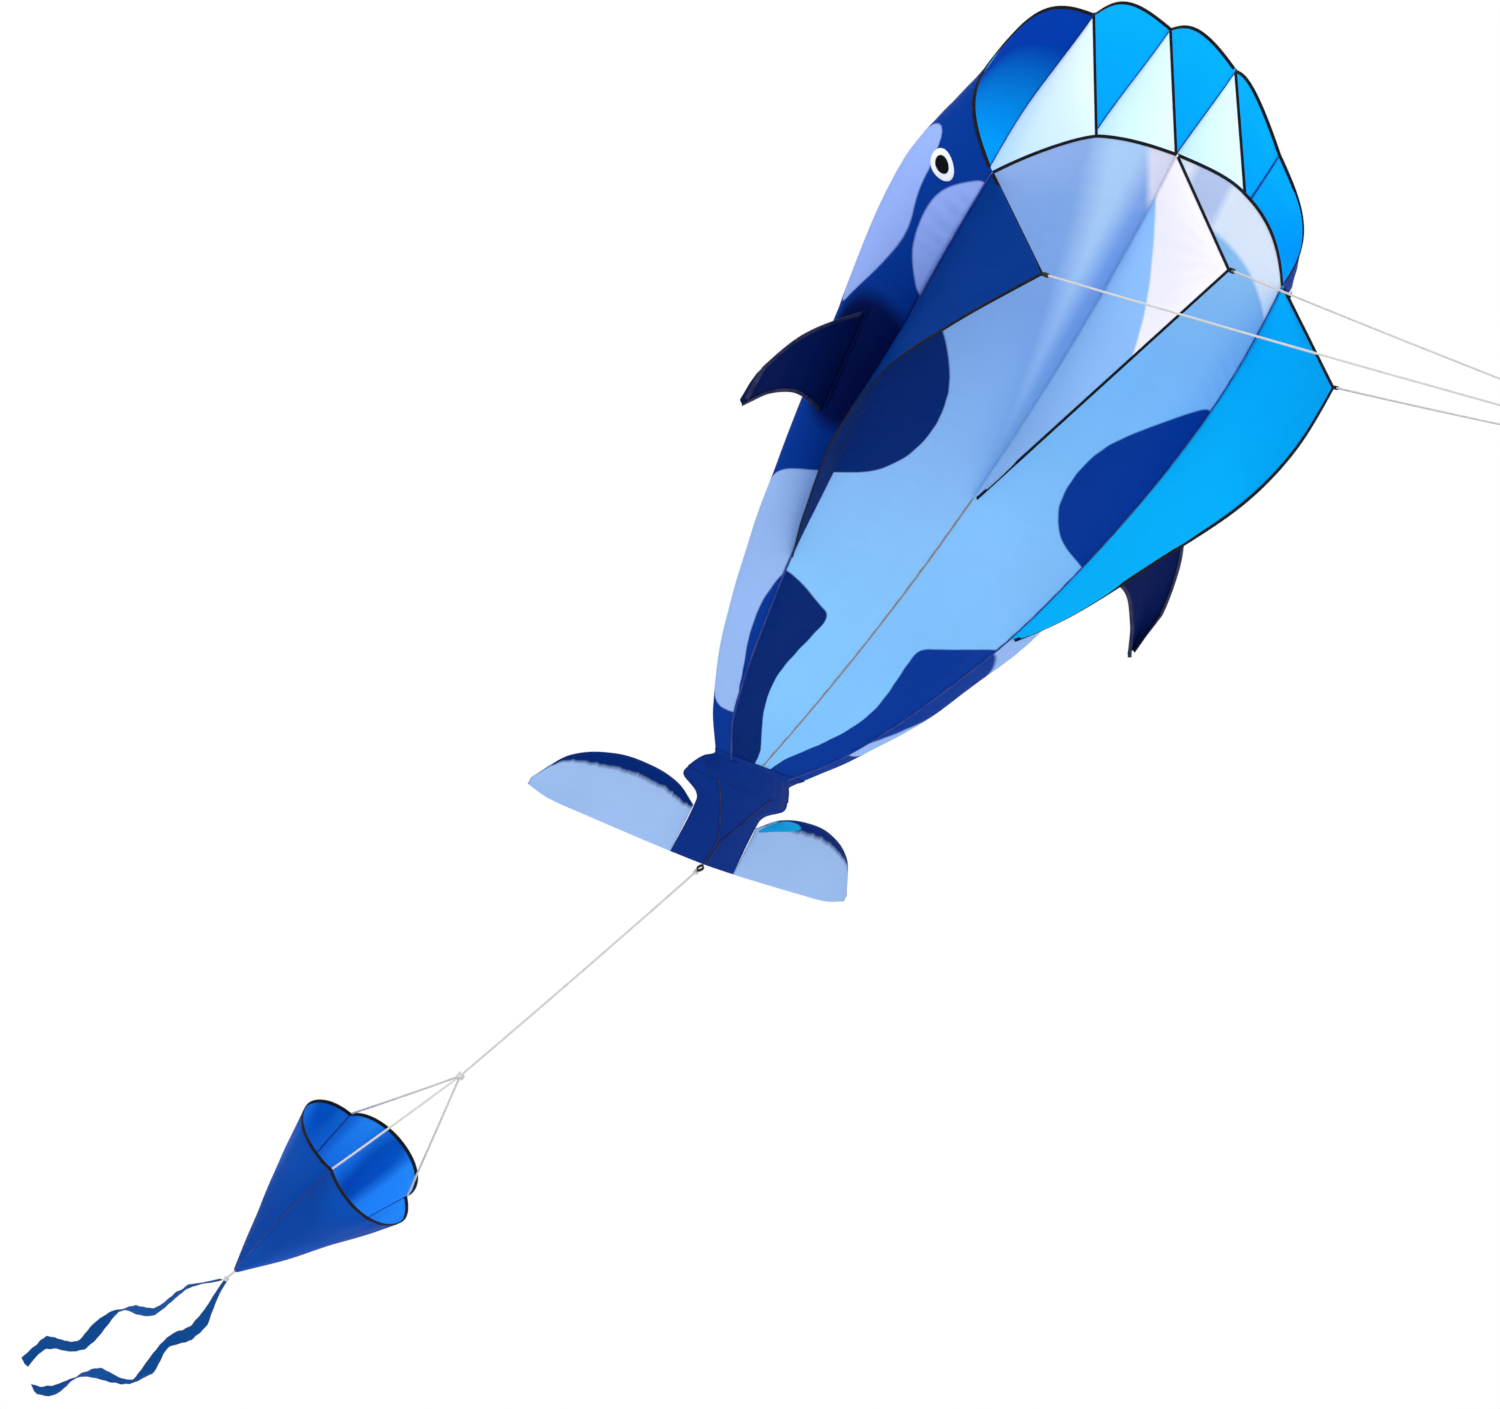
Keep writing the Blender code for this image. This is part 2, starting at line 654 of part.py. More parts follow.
def build_tail_line(frame):
    ring = make_ring("tail_loop", TAIL_LOOP_RADIUS, TAIL_LOOP_WIRE, "webbing", frame)
    ring.location = (0.0, TAIL_LOOP_REACH, 0.0)
    make_ball("tail_line_knot", (0.0, LINE_START, 0.0), SMALL_KNOT, "white_cord", frame)
    make_line(
        "tail_line",
        (0.0, LINE_START + SMALL_KNOT + CLEARANCE, 0.0),
        (0.0, TAIL_LINE_LENGTH - KNOT_RADIUS - CLEARANCE, 0.0),
        CORD_RADIUS, "white_cord", frame,
    )


def build_drogue(frame):
    make_ball("drogue_knot", (0.0, TAIL_LINE_LENGTH, 0.0), KNOT_RADIUS, "white_cord", frame)
    knot = Vector((0.0, TAIL_LINE_LENGTH, 0.0))
    for k in range(DROGUE_LOBES):
        tab = rim_point(LINE_ANGLE + k * 2.0 * math.pi / DROGUE_LOBES)
        run = (tab - knot).normalized()
        start = knot + run * (KNOT_RADIUS + CLEARANCE)
        end = tab - run * (BINDING_RADIUS + 2.0 * CLEARANCE)
        make_line(f"drogue_line_{k + 1}", start, end, CORD_RADIUS, "white_cord", frame)

    mesh = bpy.data.meshes.new("drogue_cone")
    bm = bmesh.new()
    bmesh.ops.create_cone(bm, cap_ends=False, segments=DROGUE_STEPS, radius1=1.0, radius2=1.0, depth=1.0)
    uprights = [edge for edge in bm.edges if abs(edge.verts[0].co.z - edge.verts[1].co.z) > 0.5]
    bmesh.ops.subdivide_edges(bm, edges=uprights, cuts=DROGUE_CUTS)
    start = (BINDING_RADIUS + CLEARANCE) / DROGUE_LENGTH
    for vert in bm.verts:
        angle = math.atan2(vert.co.y, vert.co.x)
        vert.co = rim_point(angle, share(start, 1.0, vert.co.z + 0.5))
    bmesh.ops.recalc_face_normals(bm, faces=bm.faces)
    bm.to_mesh(mesh)
    bm.free()
    mesh.shade_smooth()
    cone = add_object("drogue_cone", mesh, "drogue_fabric", frame)
    solidify = cone.modifiers.new("thickness", "SOLIDIFY")
    solidify.thickness = FABRIC
    solidify.offset = 0.0

    steps = DROGUE_STEPS
    rim = make_tube(
        "drogue_rim",
        [rim_point(k * 2.0 * math.pi / steps) for k in range(steps)],
        BINDING_RADIUS, "binding_tape", frame,
    )
    rim.data.use_fill_caps = False
    rim.data.splines[0].use_cyclic_u = True

    make_line(
        "apex_cord",
        (0.0, DROGUE_END - 2.0 * BINDING_RADIUS, 0.0),
        (0.0, APEX_KNOT - SMALL_KNOT - CLEARANCE, 0.0),
        CORD_RADIUS, "white_cord", frame, 5,
    )
    make_ball("apex_knot", (0.0, APEX_KNOT, 0.0), SMALL_KNOT, "white_cord", frame)


def ribbon_point(name, a, b):
    """A point on a ribbon: a across it, b along it, kept to its own side of the knot."""
    (side, phase, swing, sag) = RIBBON_WAVES[name]
    spread = min(1.0, 6.0 * b)
    width = RIBBON_WIDTH * share(RIBBON_GATHER, 1.0, spread)
    x = side * (0.5 * width + RIBBON_GAP + swing * math.sin(math.pi * b)) + (a - 0.5) * width
    y = SMALL_KNOT + RIBBON_GAP + b * RIBBON_LENGTH
    wave = RIBBON_FLUTTER * min(1.0, 3.0 * b)
    z = wave * (math.sin(phase + 2.0 * math.pi * RIBBON_TURNS * b) - math.sin(phase) * (1.0 - b))
    return Vector((x, y, z - sag * math.sin(math.pi * b)))


def build_ribbons(frame):
    for (name, turn) in RIBBON_SPREAD.items():
        hinge = make_empty(
            f"ribbon_{name}_hinge", frame, (0.0, APEX_KNOT, 0.0), (RIBBON_LIFT + turn, 0.0, 0.0)
        )
        make_sheet(
            f"ribbon_{name}",
            lambda a, b: ribbon_point(name, a, b),
            *RIBBON_GRID, "ribbon_fabric", hinge,
        )


def make_ring(name, radius, wire, material, parent):
    """A ring standing in the x-y plane."""
    curve = bpy.data.curves.new(name, "CURVE")
    curve.dimensions = "3D"
    curve.bevel_depth = wire
    curve.bevel_resolution = 3
    spline = curve.splines.new("POLY")
    steps = RING_STEPS
    spline.points.add(steps - 1)
    spline.use_cyclic_u = True
    for (k, knot) in enumerate(spline.points):
        angle = k * 2.0 * math.pi / steps
        knot.co = (radius * math.cos(angle), radius * math.sin(angle), 0.0, 1.0)
    return add_object(name, curve, material, parent)


def keel_tips():
    return {
        "right": side_keel_edge(-1.0, 0.0),
        "middle": middle_keel_edge(0.0),
        "left": side_keel_edge(1.0, 0.0),
    }


def build_bridle():
    """Three lines from the keel tips, each tied to the tow ring at the origin."""
    corners = {name: canopy_matrix() @ tip for (name, tip) in keel_tips().items()}
    mean = corners["middle"]
    ring = make_ring("tow_ring", RING_RADIUS, RING_WIRE, "steel", None)
    ring.rotation_euler = (math.atan2(mean.z, mean.y), 0.0, 0.0)
    forward = Vector((0.0, mean.y, mean.z)).normalized()
    reach = RING_RADIUS + RING_WIRE + SMALL_KNOT + CLEARANCE
    for (name, corner) in corners.items():
        fan = LINE_FAN * SIDES.get(name, 0.0)
        knot = reach * (forward * math.cos(fan) + Vector((math.sin(fan), 0.0, 0.0)))
        make_ball(f"bridle_knot_{name}", knot, SMALL_KNOT, "white_cord", None)
        run = (knot - corner).normalized()
        tab_centre = corner + run * (BINDING_RADIUS + TAB_RADIUS + CLEARANCE)
        make_ball(f"keel_tab_{name}", tab_centre, TAB_RADIUS, "webbing", None)
        start = tab_centre + run * (TAB_RADIUS + CLEARANCE)
        end = knot - run * (SMALL_KNOT + CLEARANCE)
        make_line(f"bridle_line_{name}", start, end, CORD_RADIUS, "white_cord", None)


def main():
    canopy = make_empty("canopy_frame", None, LOWER_LIP_CENTRE, (-FLIGHT_PITCH, 0.0, 0.0))
    build_skins(canopy)
    build_ribs(canopy)
    build_keels(canopy)
    build_mouth_bindings(canopy)
    build_eyes(canopy)
    build_fins(canopy)
    build_tail(canopy)
    build_bridle()
    line = make_empty("line_frame", None, tail_end(), (-TAIL_LINE_DROP, 0.0, 0.0))
    build_tail_line(line)
    build_drogue(line)
    build_ribbons(line)


clear_scene()
KITE = make_collection("parafoil_kite")
MATERIALS = {name: make_material(name) for name in FINISHES}
main()
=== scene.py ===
import math

import bmesh
import bpy
from mathutils import Matrix, Vector, noise
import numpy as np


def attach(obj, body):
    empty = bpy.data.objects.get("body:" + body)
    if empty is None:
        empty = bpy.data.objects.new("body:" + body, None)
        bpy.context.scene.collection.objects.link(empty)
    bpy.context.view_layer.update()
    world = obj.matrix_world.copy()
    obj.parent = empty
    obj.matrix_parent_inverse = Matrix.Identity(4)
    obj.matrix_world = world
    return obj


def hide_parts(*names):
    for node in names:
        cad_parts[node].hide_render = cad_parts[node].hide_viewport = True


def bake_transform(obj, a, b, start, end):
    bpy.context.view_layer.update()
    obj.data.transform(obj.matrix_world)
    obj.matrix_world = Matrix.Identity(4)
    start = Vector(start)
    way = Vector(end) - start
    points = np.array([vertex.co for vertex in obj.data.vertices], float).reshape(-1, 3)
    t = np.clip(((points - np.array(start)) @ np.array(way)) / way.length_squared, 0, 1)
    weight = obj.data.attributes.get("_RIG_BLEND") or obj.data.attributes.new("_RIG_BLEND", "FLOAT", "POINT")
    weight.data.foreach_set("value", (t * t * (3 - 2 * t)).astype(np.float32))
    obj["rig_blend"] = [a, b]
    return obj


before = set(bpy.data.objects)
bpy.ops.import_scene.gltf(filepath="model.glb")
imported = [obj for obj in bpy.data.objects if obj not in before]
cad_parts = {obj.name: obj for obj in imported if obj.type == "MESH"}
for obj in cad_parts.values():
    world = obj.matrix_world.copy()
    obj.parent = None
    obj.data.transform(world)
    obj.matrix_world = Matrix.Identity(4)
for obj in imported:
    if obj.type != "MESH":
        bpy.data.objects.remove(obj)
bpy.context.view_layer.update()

scene = bpy.context.scene
up = Vector((0, 0, 1))
left = Vector((1, 0, 0))


# Camera, light and floor

studio = {
    "target": (0.0, 3.187, 0.477), "look": (0.623, 0.668, 0.403), "distance": 80.0, "lens": 854.4,
    "floorHeight": -35.0, "floorSize": 900.0, "skyStrength": 1.0, "sunStrength": 1.6, "sunAngle": 0.25,
}


def setStudio():
    look = Vector(studio["look"]).normalized()
    camera = bpy.data.objects.new("camera", bpy.data.cameras.new("camera"))
    scene.collection.objects.link(camera)
    camera.data.lens = studio["lens"]
    camera.data.sensor_width = 36.0
    camera.data.clip_end = 2000.0
    camera.location = Vector(studio["target"]) - look * studio["distance"]
    camera.rotation_euler = look.to_track_quat("-Z", "Y").to_euler()
    scene.camera = camera

    world = bpy.data.worlds.new("sky")
    scene.world = world
    world.use_nodes = True
    world.node_tree.nodes["Background"].inputs["Color"].default_value = (1.0, 1.0, 1.0, 1.0)
    world.node_tree.nodes["Background"].inputs["Strength"].default_value = studio["skyStrength"]
    scene.view_settings.view_transform = "Standard"

    sun = bpy.data.objects.new("sun", bpy.data.lights.new("sun", "SUN"))
    scene.collection.objects.link(sun)
    sun.data.energy = studio["sunStrength"]
    sun.data.angle = studio["sunAngle"]
    sun.rotation_euler = (math.radians(38.0), math.radians(-24.0), 0.0)

    mesh = bpy.data.meshes.new("floor")
    bm = bmesh.new()
    bmesh.ops.create_grid(bm, x_segments=1, y_segments=1, size=0.5 * studio["floorSize"])
    bmesh.ops.translate(bm, vec=(0.0, 0.0, studio["floorHeight"]), verts=bm.verts)
    bm.to_mesh(mesh)
    bm.free()
    floor = bpy.data.objects.new("floor", mesh)
    scene.collection.objects.link(floor)
    material = bpy.data.materials.new("paleFloor")
    material.use_nodes = True
    shader = material.node_tree.nodes["Principled BSDF"]
    shader.inputs["Base Color"].default_value = (0.82, 0.84, 0.86, 1.0)
    shader.inputs["Roughness"].default_value = 0.8
    mesh.materials.append(material)


setStudio()
print("stage: camera, light and floor")


# The kite's own shape: x to its left, y aft, z towards its back

body = {
    "length": 1.70, "mouthHalfWidth": 0.44, "overhang": 0.227, "depth": 0.290, "bellyRise": 0.347,
    "lowerSweep": 0.19, "upperSweep": 0.17, "seamDrop": 0.02, "crown": 0.30, "topScallop": 0.04,
    "bellyScallop": 0.012, "bulge": 0.125, "ribPlace": 0.52, "topWidth": 0.955, "ribEnd": 0.92,
    "pitch": math.radians(49.4), "lip": (0.0, 1.79, 1.37),
}
widths = ((0.0, 1.0), (0.30, 1.02), (0.65, 0.81), (0.82, 0.60), (0.94, 0.38), (1.0, 0.19))
depths = ((0.0, 0.745), (0.13, 1.0), (0.32, 0.98), (0.60, 0.74), (0.82, 0.44), (1.0, 0.20))
bulges = ((0.0, 0.55), (0.12, 1.1), (0.30, 1.08), (0.60, 0.85), (0.82, 0.62), (0.94, 0.40), (1.0, 0.33))
sides = {"right": -1.0, "left": 1.0}
flying = Matrix.Translation(body["lip"]) @ Matrix.Rotation(-body["pitch"], 4, "X")


def mix(low, high, f):
    return low + (high - low) * f


def clamp(value, low=0.0, high=1.0):
    return max(low, min(high, value))


def smoothThrough(stations, at, column=1):
    if at <= stations[0][0]:
        return stations[0][column]
    if at >= stations[-1][0]:
        return stations[-1][column]
    last = len(stations) - 1
    i = max(k for k in range(last) if stations[k][0] <= at)

    def slope(k):
        low = stations[max(k - 1, 0)]
        high = stations[min(k + 1, last)]
        return (high[column] - low[column]) / (high[0] - low[0])

    start, end = stations[i], stations[i + 1]
    span = end[0] - start[0]
    f = (at - start[0]) / span
    bend = f * (1.0 - f) ** 2 * span * slope(i) - f * f * (1.0 - f) * span * slope(i + 1)
    return mix(start[column], end[column], f * f * (3.0 - 2.0 * f)) + bend


def bellyHeight(y):
    return body["bellyRise"] * (y / body["length"]) ** 2


def halfWidth(y):
    return body["mouthHalfWidth"] * smoothThrough(widths, y / body["length"])


def depthAt(s):
    return body["depth"] * smoothThrough(depths, s)


def cellArch(u):
    width = abs(u)
    if width < body["ribPlace"]:
        return math.sin(math.pi * width / body["ribPlace"])
    return math.sin(math.pi * min(1.0, (width - body["ribPlace"]) / (1.0 - body["ribPlace"])))


def bellyPoint(u, s):
    y = s * body["length"] + body["lowerSweep"] * abs(u) ** 3 * (1.0 - s) ** 2
    z = bellyHeight(y) - body["bellyScallop"] * cellArch(u) * (1.0 - s)
    return Vector((u * halfWidth(y), y, z))


def topPoint(u, s):
    fade = (1.0 - s) ** 2
    arch = body["topScallop"] * cellArch(u) * (1.0 - s) ** 1.5
    y = s * body["length"] - body["overhang"] * (1.0 - s) ** 4
    y += body["upperSweep"] * abs(u) ** 2.5 * fade - 0.5 * arch * fade
    drop = body["seamDrop"] + body["crown"] * depthAt(s) * min(1.0, 3.0 * s)
    base = bellyHeight(s * body["length"]) + depthAt(s)
    width = halfWidth(s * body["length"] + body["lowerSweep"] * abs(u) ** 3 * fade)
    return Vector((body["topWidth"] * u * width, y, base - drop * abs(u) ** 2.5 + arch))


def flankPoint(side, v, s):
    point = bellyPoint(side, s).lerp(topPoint(side, s), v)
    point.x += side * body["bulge"] * smoothThrough(bulges, s) * math.sin(math.pi * v)
    return point


def ribPoint(u, v, s):
    return bellyPoint(u, s).lerp(topPoint(u, s), v)


# Node helpers, shared effects and finishes

def paint(red, green, blue):
    shades = (red / 255.0, green / 255.0, blue / 255.0)
    linear = [c / 12.92 if c <= 0.04045 else ((c + 0.055) / 1.055) ** 2.4 for c in shades]
    return (*linear, 1.0)


def put(tree, kind, feeds=None, **settings):
    node = tree.nodes.new("ShaderNode" + kind)
    for key, value in settings.items():
        setattr(node, key, value)
    for key, value in (feeds or {}).items():
        if isinstance(value, bpy.types.NodeSocket):
            tree.links.new(value, node.inputs[key])
        else:
            node.inputs[key].default_value = value
    return node


def calc(tree, operation, first, second=0.0):
    return put(tree, "Math", {0: first, 1: second}, operation=operation).outputs[0]


def newGroup(name, inputs, outputs):
    group = bpy.data.node_groups.new(name, "ShaderNodeTree")
    for label, kind in inputs:
        group.interface.new_socket(name=label, in_out="INPUT", socket_type="NodeSocket" + kind)
    for label, kind in outputs:
        group.interface.new_socket(name=label, in_out="OUTPUT", socket_type="NodeSocket" + kind)
    return group, group.nodes.new("NodeGroupInput"), group.nodes.new("NodeGroupOutput")


def ripstopGroup():
    group, given, result = newGroup(
        "ripstop", (("Vector", "Vector"), ("Spacing", "Float")), (("Grid", "Float"), ("Height", "Float")),
    )
    parts = put(group, "SeparateXYZ", {0: given.outputs["Vector"]})
    bands = []
    threads = []
    for axis in (0, 1):
        run = calc(group, "DIVIDE", parts.outputs[axis], given.outputs["Spacing"])
        wave = calc(group, "PINGPONG", run, 0.5)
        bands.append(put(group, "MapRange", {"Value": wave, "From Min": 0.40, "From Max": 0.46}).outputs[0])
        threads.append(calc(group, "SINE", calc(group, "MULTIPLY", run, 50.0)))
    grid = calc(group, "MAXIMUM", bands[0], bands[1])
    fine = calc(group, "MULTIPLY", calc(group, "MULTIPLY", threads[0], threads[1]), 0.25)
    group.links.new(grid, result.inputs["Grid"])
    group.links.new(calc(group, "ADD", grid, fine), result.inputs["Height"])
    return group


def crinkleGroup():
    group, given, result = newGroup(
        "crinkle", (("Vector", "Vector"), ("Scale", "Float")), (("Height", "Float"), ("Fade", "Float")),
    )
    soft = put(
        group, "TexNoise",
        {
            "Vector": given.outputs["Vector"], "Scale": given.outputs["Scale"], "Detail": 4.0,
            "Distortion": 0.8,
        },
    )
    fade = put(group, "TexNoise", {"Vector": given.outputs["Vector"], "Scale": 2.5, "Detail": 2.0})
    ridge = calc(group, "ABSOLUTE", calc(group, "SUBTRACT", soft.outputs[0], 0.5))
    group.links.new(calc(group, "SUBTRACT", 0.5, ridge), result.inputs["Height"])
    group.links.new(fade.outputs[0], result.inputs["Fade"])
    return group


ripstop = ripstopGroup()
crinkle = crinkleGroup()


def patchMask(tree, attribute, blur):
    mark = put(tree, "Attribute", attribute_name=attribute)
    feeds = {"Value": mark.outputs["Fac"], "From Min": -blur, "From Max": blur}
    return put(tree, "MapRange", feeds).outputs[0]


clothLook = {
    "creaseScale": 14.0, "worn": (0.92, 0.94, 0.95, 1.0), "thread": (0.75, 0.78, 0.82, 1.0),
    "threadShare": 0.22, "weaveHeight": 0.08, "bump": 0.35, "bumpDepth": 0.004, "specular": 0.04,
}
plainLook = {
    "dirt": (0.35, 0.33, 0.30, 1.0), "dirtScale": 35.0, "bumpDepth": 0.0004, "roughSpread": 0.08,
    "specular": 0.15, "metalSpecular": 0.5,
}


def finishCloth(name, colour, patches=(), ramp=None, glow=0.3, paintedGlow=0.0, roughness=0.55, spacing=0.006):
    material = bpy.data.materials.new(name)
    material.use_nodes = True
    tree = material.node_tree
    shader = tree.nodes["Principled BSDF"]
    place = put(tree, "TexCoord")
    weave = put(tree, "Group", node_tree=ripstop)
    tree.links.new(place.outputs["UV"], weave.inputs["Vector"])
    weave.inputs["Spacing"].default_value = spacing
    creases = put(tree, "Group", node_tree=crinkle)
    tree.links.new(place.outputs["Object"], creases.inputs["Vector"])
    creases.inputs["Scale"].default_value = clothLook["creaseScale"]

    shade = colour
    if ramp:
        aft = put(tree, "Attribute", attribute_name="aft")
        stops = put(tree, "ValToRGB", {0: aft.outputs["Fac"]})
        for at, tone in ramp[2:]:
            stops.color_ramp.elements.new(at)
        for element, (at, tone) in zip(stops.color_ramp.elements, sorted(ramp)):
            element.position = at
            element.color = tone
        shade = stops.outputs[0]
    for attribute, tone, blur in patches:
        mask = patchMask(tree, attribute, blur)
        shade = put(tree, "Mix", {0: mask, 6: shade, 7: tone}, data_type="RGBA").outputs[2]
    worn = put(
        tree, "MapRange", {"Value": creases.outputs["Fade"], "From Min": 0.3, "From Max": 0.7},
    ).outputs[0]
    thread = calc(tree, "MULTIPLY", weave.outputs["Grid"], clothLook["threadShare"])
    for amount, tone in ((worn, clothLook["worn"]), (thread, clothLook["thread"])):
        feeds = {0: amount, 6: shade, 7: tone}
        shade = put(tree, "Mix", feeds, data_type="RGBA", blend_type="MULTIPLY").outputs[2]

    raised = calc(tree, "MULTIPLY", weave.outputs["Height"], clothLook["weaveHeight"])
    relief = calc(tree, "ADD", raised, creases.outputs["Height"])
    feeds = {"Height": relief, "Strength": clothLook["bump"], "Distance": clothLook["bumpDepth"]}
    bump = put(tree, "Bump", feeds)
    tree.links.new(shade, shader.inputs["Base Color"])
    tree.links.new(bump.outputs[0], shader.inputs["Normal"])
    shader.inputs["Roughness"].default_value = roughness
    shader.inputs["Specular IOR Level"].default_value = clothLook["specular"]
    # Emission in the cloth's own colour is a painted glow, standing in for sunlight shining through the cloth.
    if paintedGlow > 0.0:
        tree.links.new(shade, shader.inputs["Emission Color"])
        shader.inputs["Emission Strength"].default_value = paintedGlow
    if glow > 0.0:
        through = put(tree, "BsdfTranslucent", {"Color": shade, "Normal": bump.outputs[0]})
        blend = put(tree, "MixShader", {0: glow, 1: shader.outputs[0], 2: through.outputs[0]})
        tree.links.new(blend.outputs[0], tree.nodes["Material Output"].inputs["Surface"])
    return material


def finishPlain(name, colour, roughness, metallic=0.0, ribs=900.0, strength=0.4, spread=0.10):
    material = bpy.data.materials.new(name)
    material.use_nodes = True
    tree = material.node_tree
    shader = tree.nodes["Principled BSDF"]
    place = put(tree, "TexCoord")
    strands = put(
        tree, "TexWave", {"Vector": place.outputs["Object"], "Scale": ribs, "Distortion": 1.5},
        bands_direction="DIAGONAL",
    )
    feeds = {"Vector": place.outputs["Object"], "Scale": plainLook["dirtScale"], "Detail": 4.0}
    dirt = put(tree, "TexNoise", feeds)
    amount = put(
        tree, "MapRange", {"Value": dirt.outputs[0], "From Min": 0.3, "From Max": 0.7, "To Max": spread},
    ).outputs[0]
    shade = put(tree, "Mix", {0: amount, 6: colour, 7: plainLook["dirt"]}, data_type="RGBA").outputs[2]
    feeds = {"Height": strands.outputs[0], "Strength": strength, "Distance": plainLook["bumpDepth"]}
    bump = put(tree, "Bump", feeds)
    tree.links.new(shade, shader.inputs["Base Color"])
    tree.links.new(bump.outputs[0], shader.inputs["Normal"])
    spare = plainLook["roughSpread"]
    feeds = {"Value": dirt.outputs[0], "To Min": roughness - spare, "To Max": roughness + spare}
    tree.links.new(put(tree, "MapRange", feeds).outputs[0], shader.inputs["Roughness"])
    shader.inputs["Metallic"].default_value = metallic
    gloss = plainLook["metalSpecular" if metallic else "specular"]
    shader.inputs["Specular IOR Level"].default_value = gloss
    return material


tones = {
    "deepBlue": paint(2, 60, 150), "navy": paint(1, 22, 84), "lavender": paint(172, 200, 234),
    # Among the next tones, the bright blue is painted light: the blue cloth as it looks with sun shining through
    # it.
    "periwinkle": paint(168, 188, 236), "sky": paint(142, 210, 252), "sunThroughCyan": paint(2, 184, 252),
    "white": paint(248, 245, 252), "paleRib": paint(232, 241, 248), "black": paint(8, 9, 12),
    # The belly's dark patch in two tones: darker on the right side as painted shade, lighter on the left side as
    # painted light.
    "nearSideShadedBlue": paint(0, 42, 116), "farSideLitBlue": paint(2, 60, 156), "tailBlue": paint(8, 50, 138),
    "drogueBlue": paint(2, 76, 172), "drogueInside": paint(4, 96, 200), "flukePale": paint(176, 206, 244),
    "brown": paint(150, 118, 100),
}
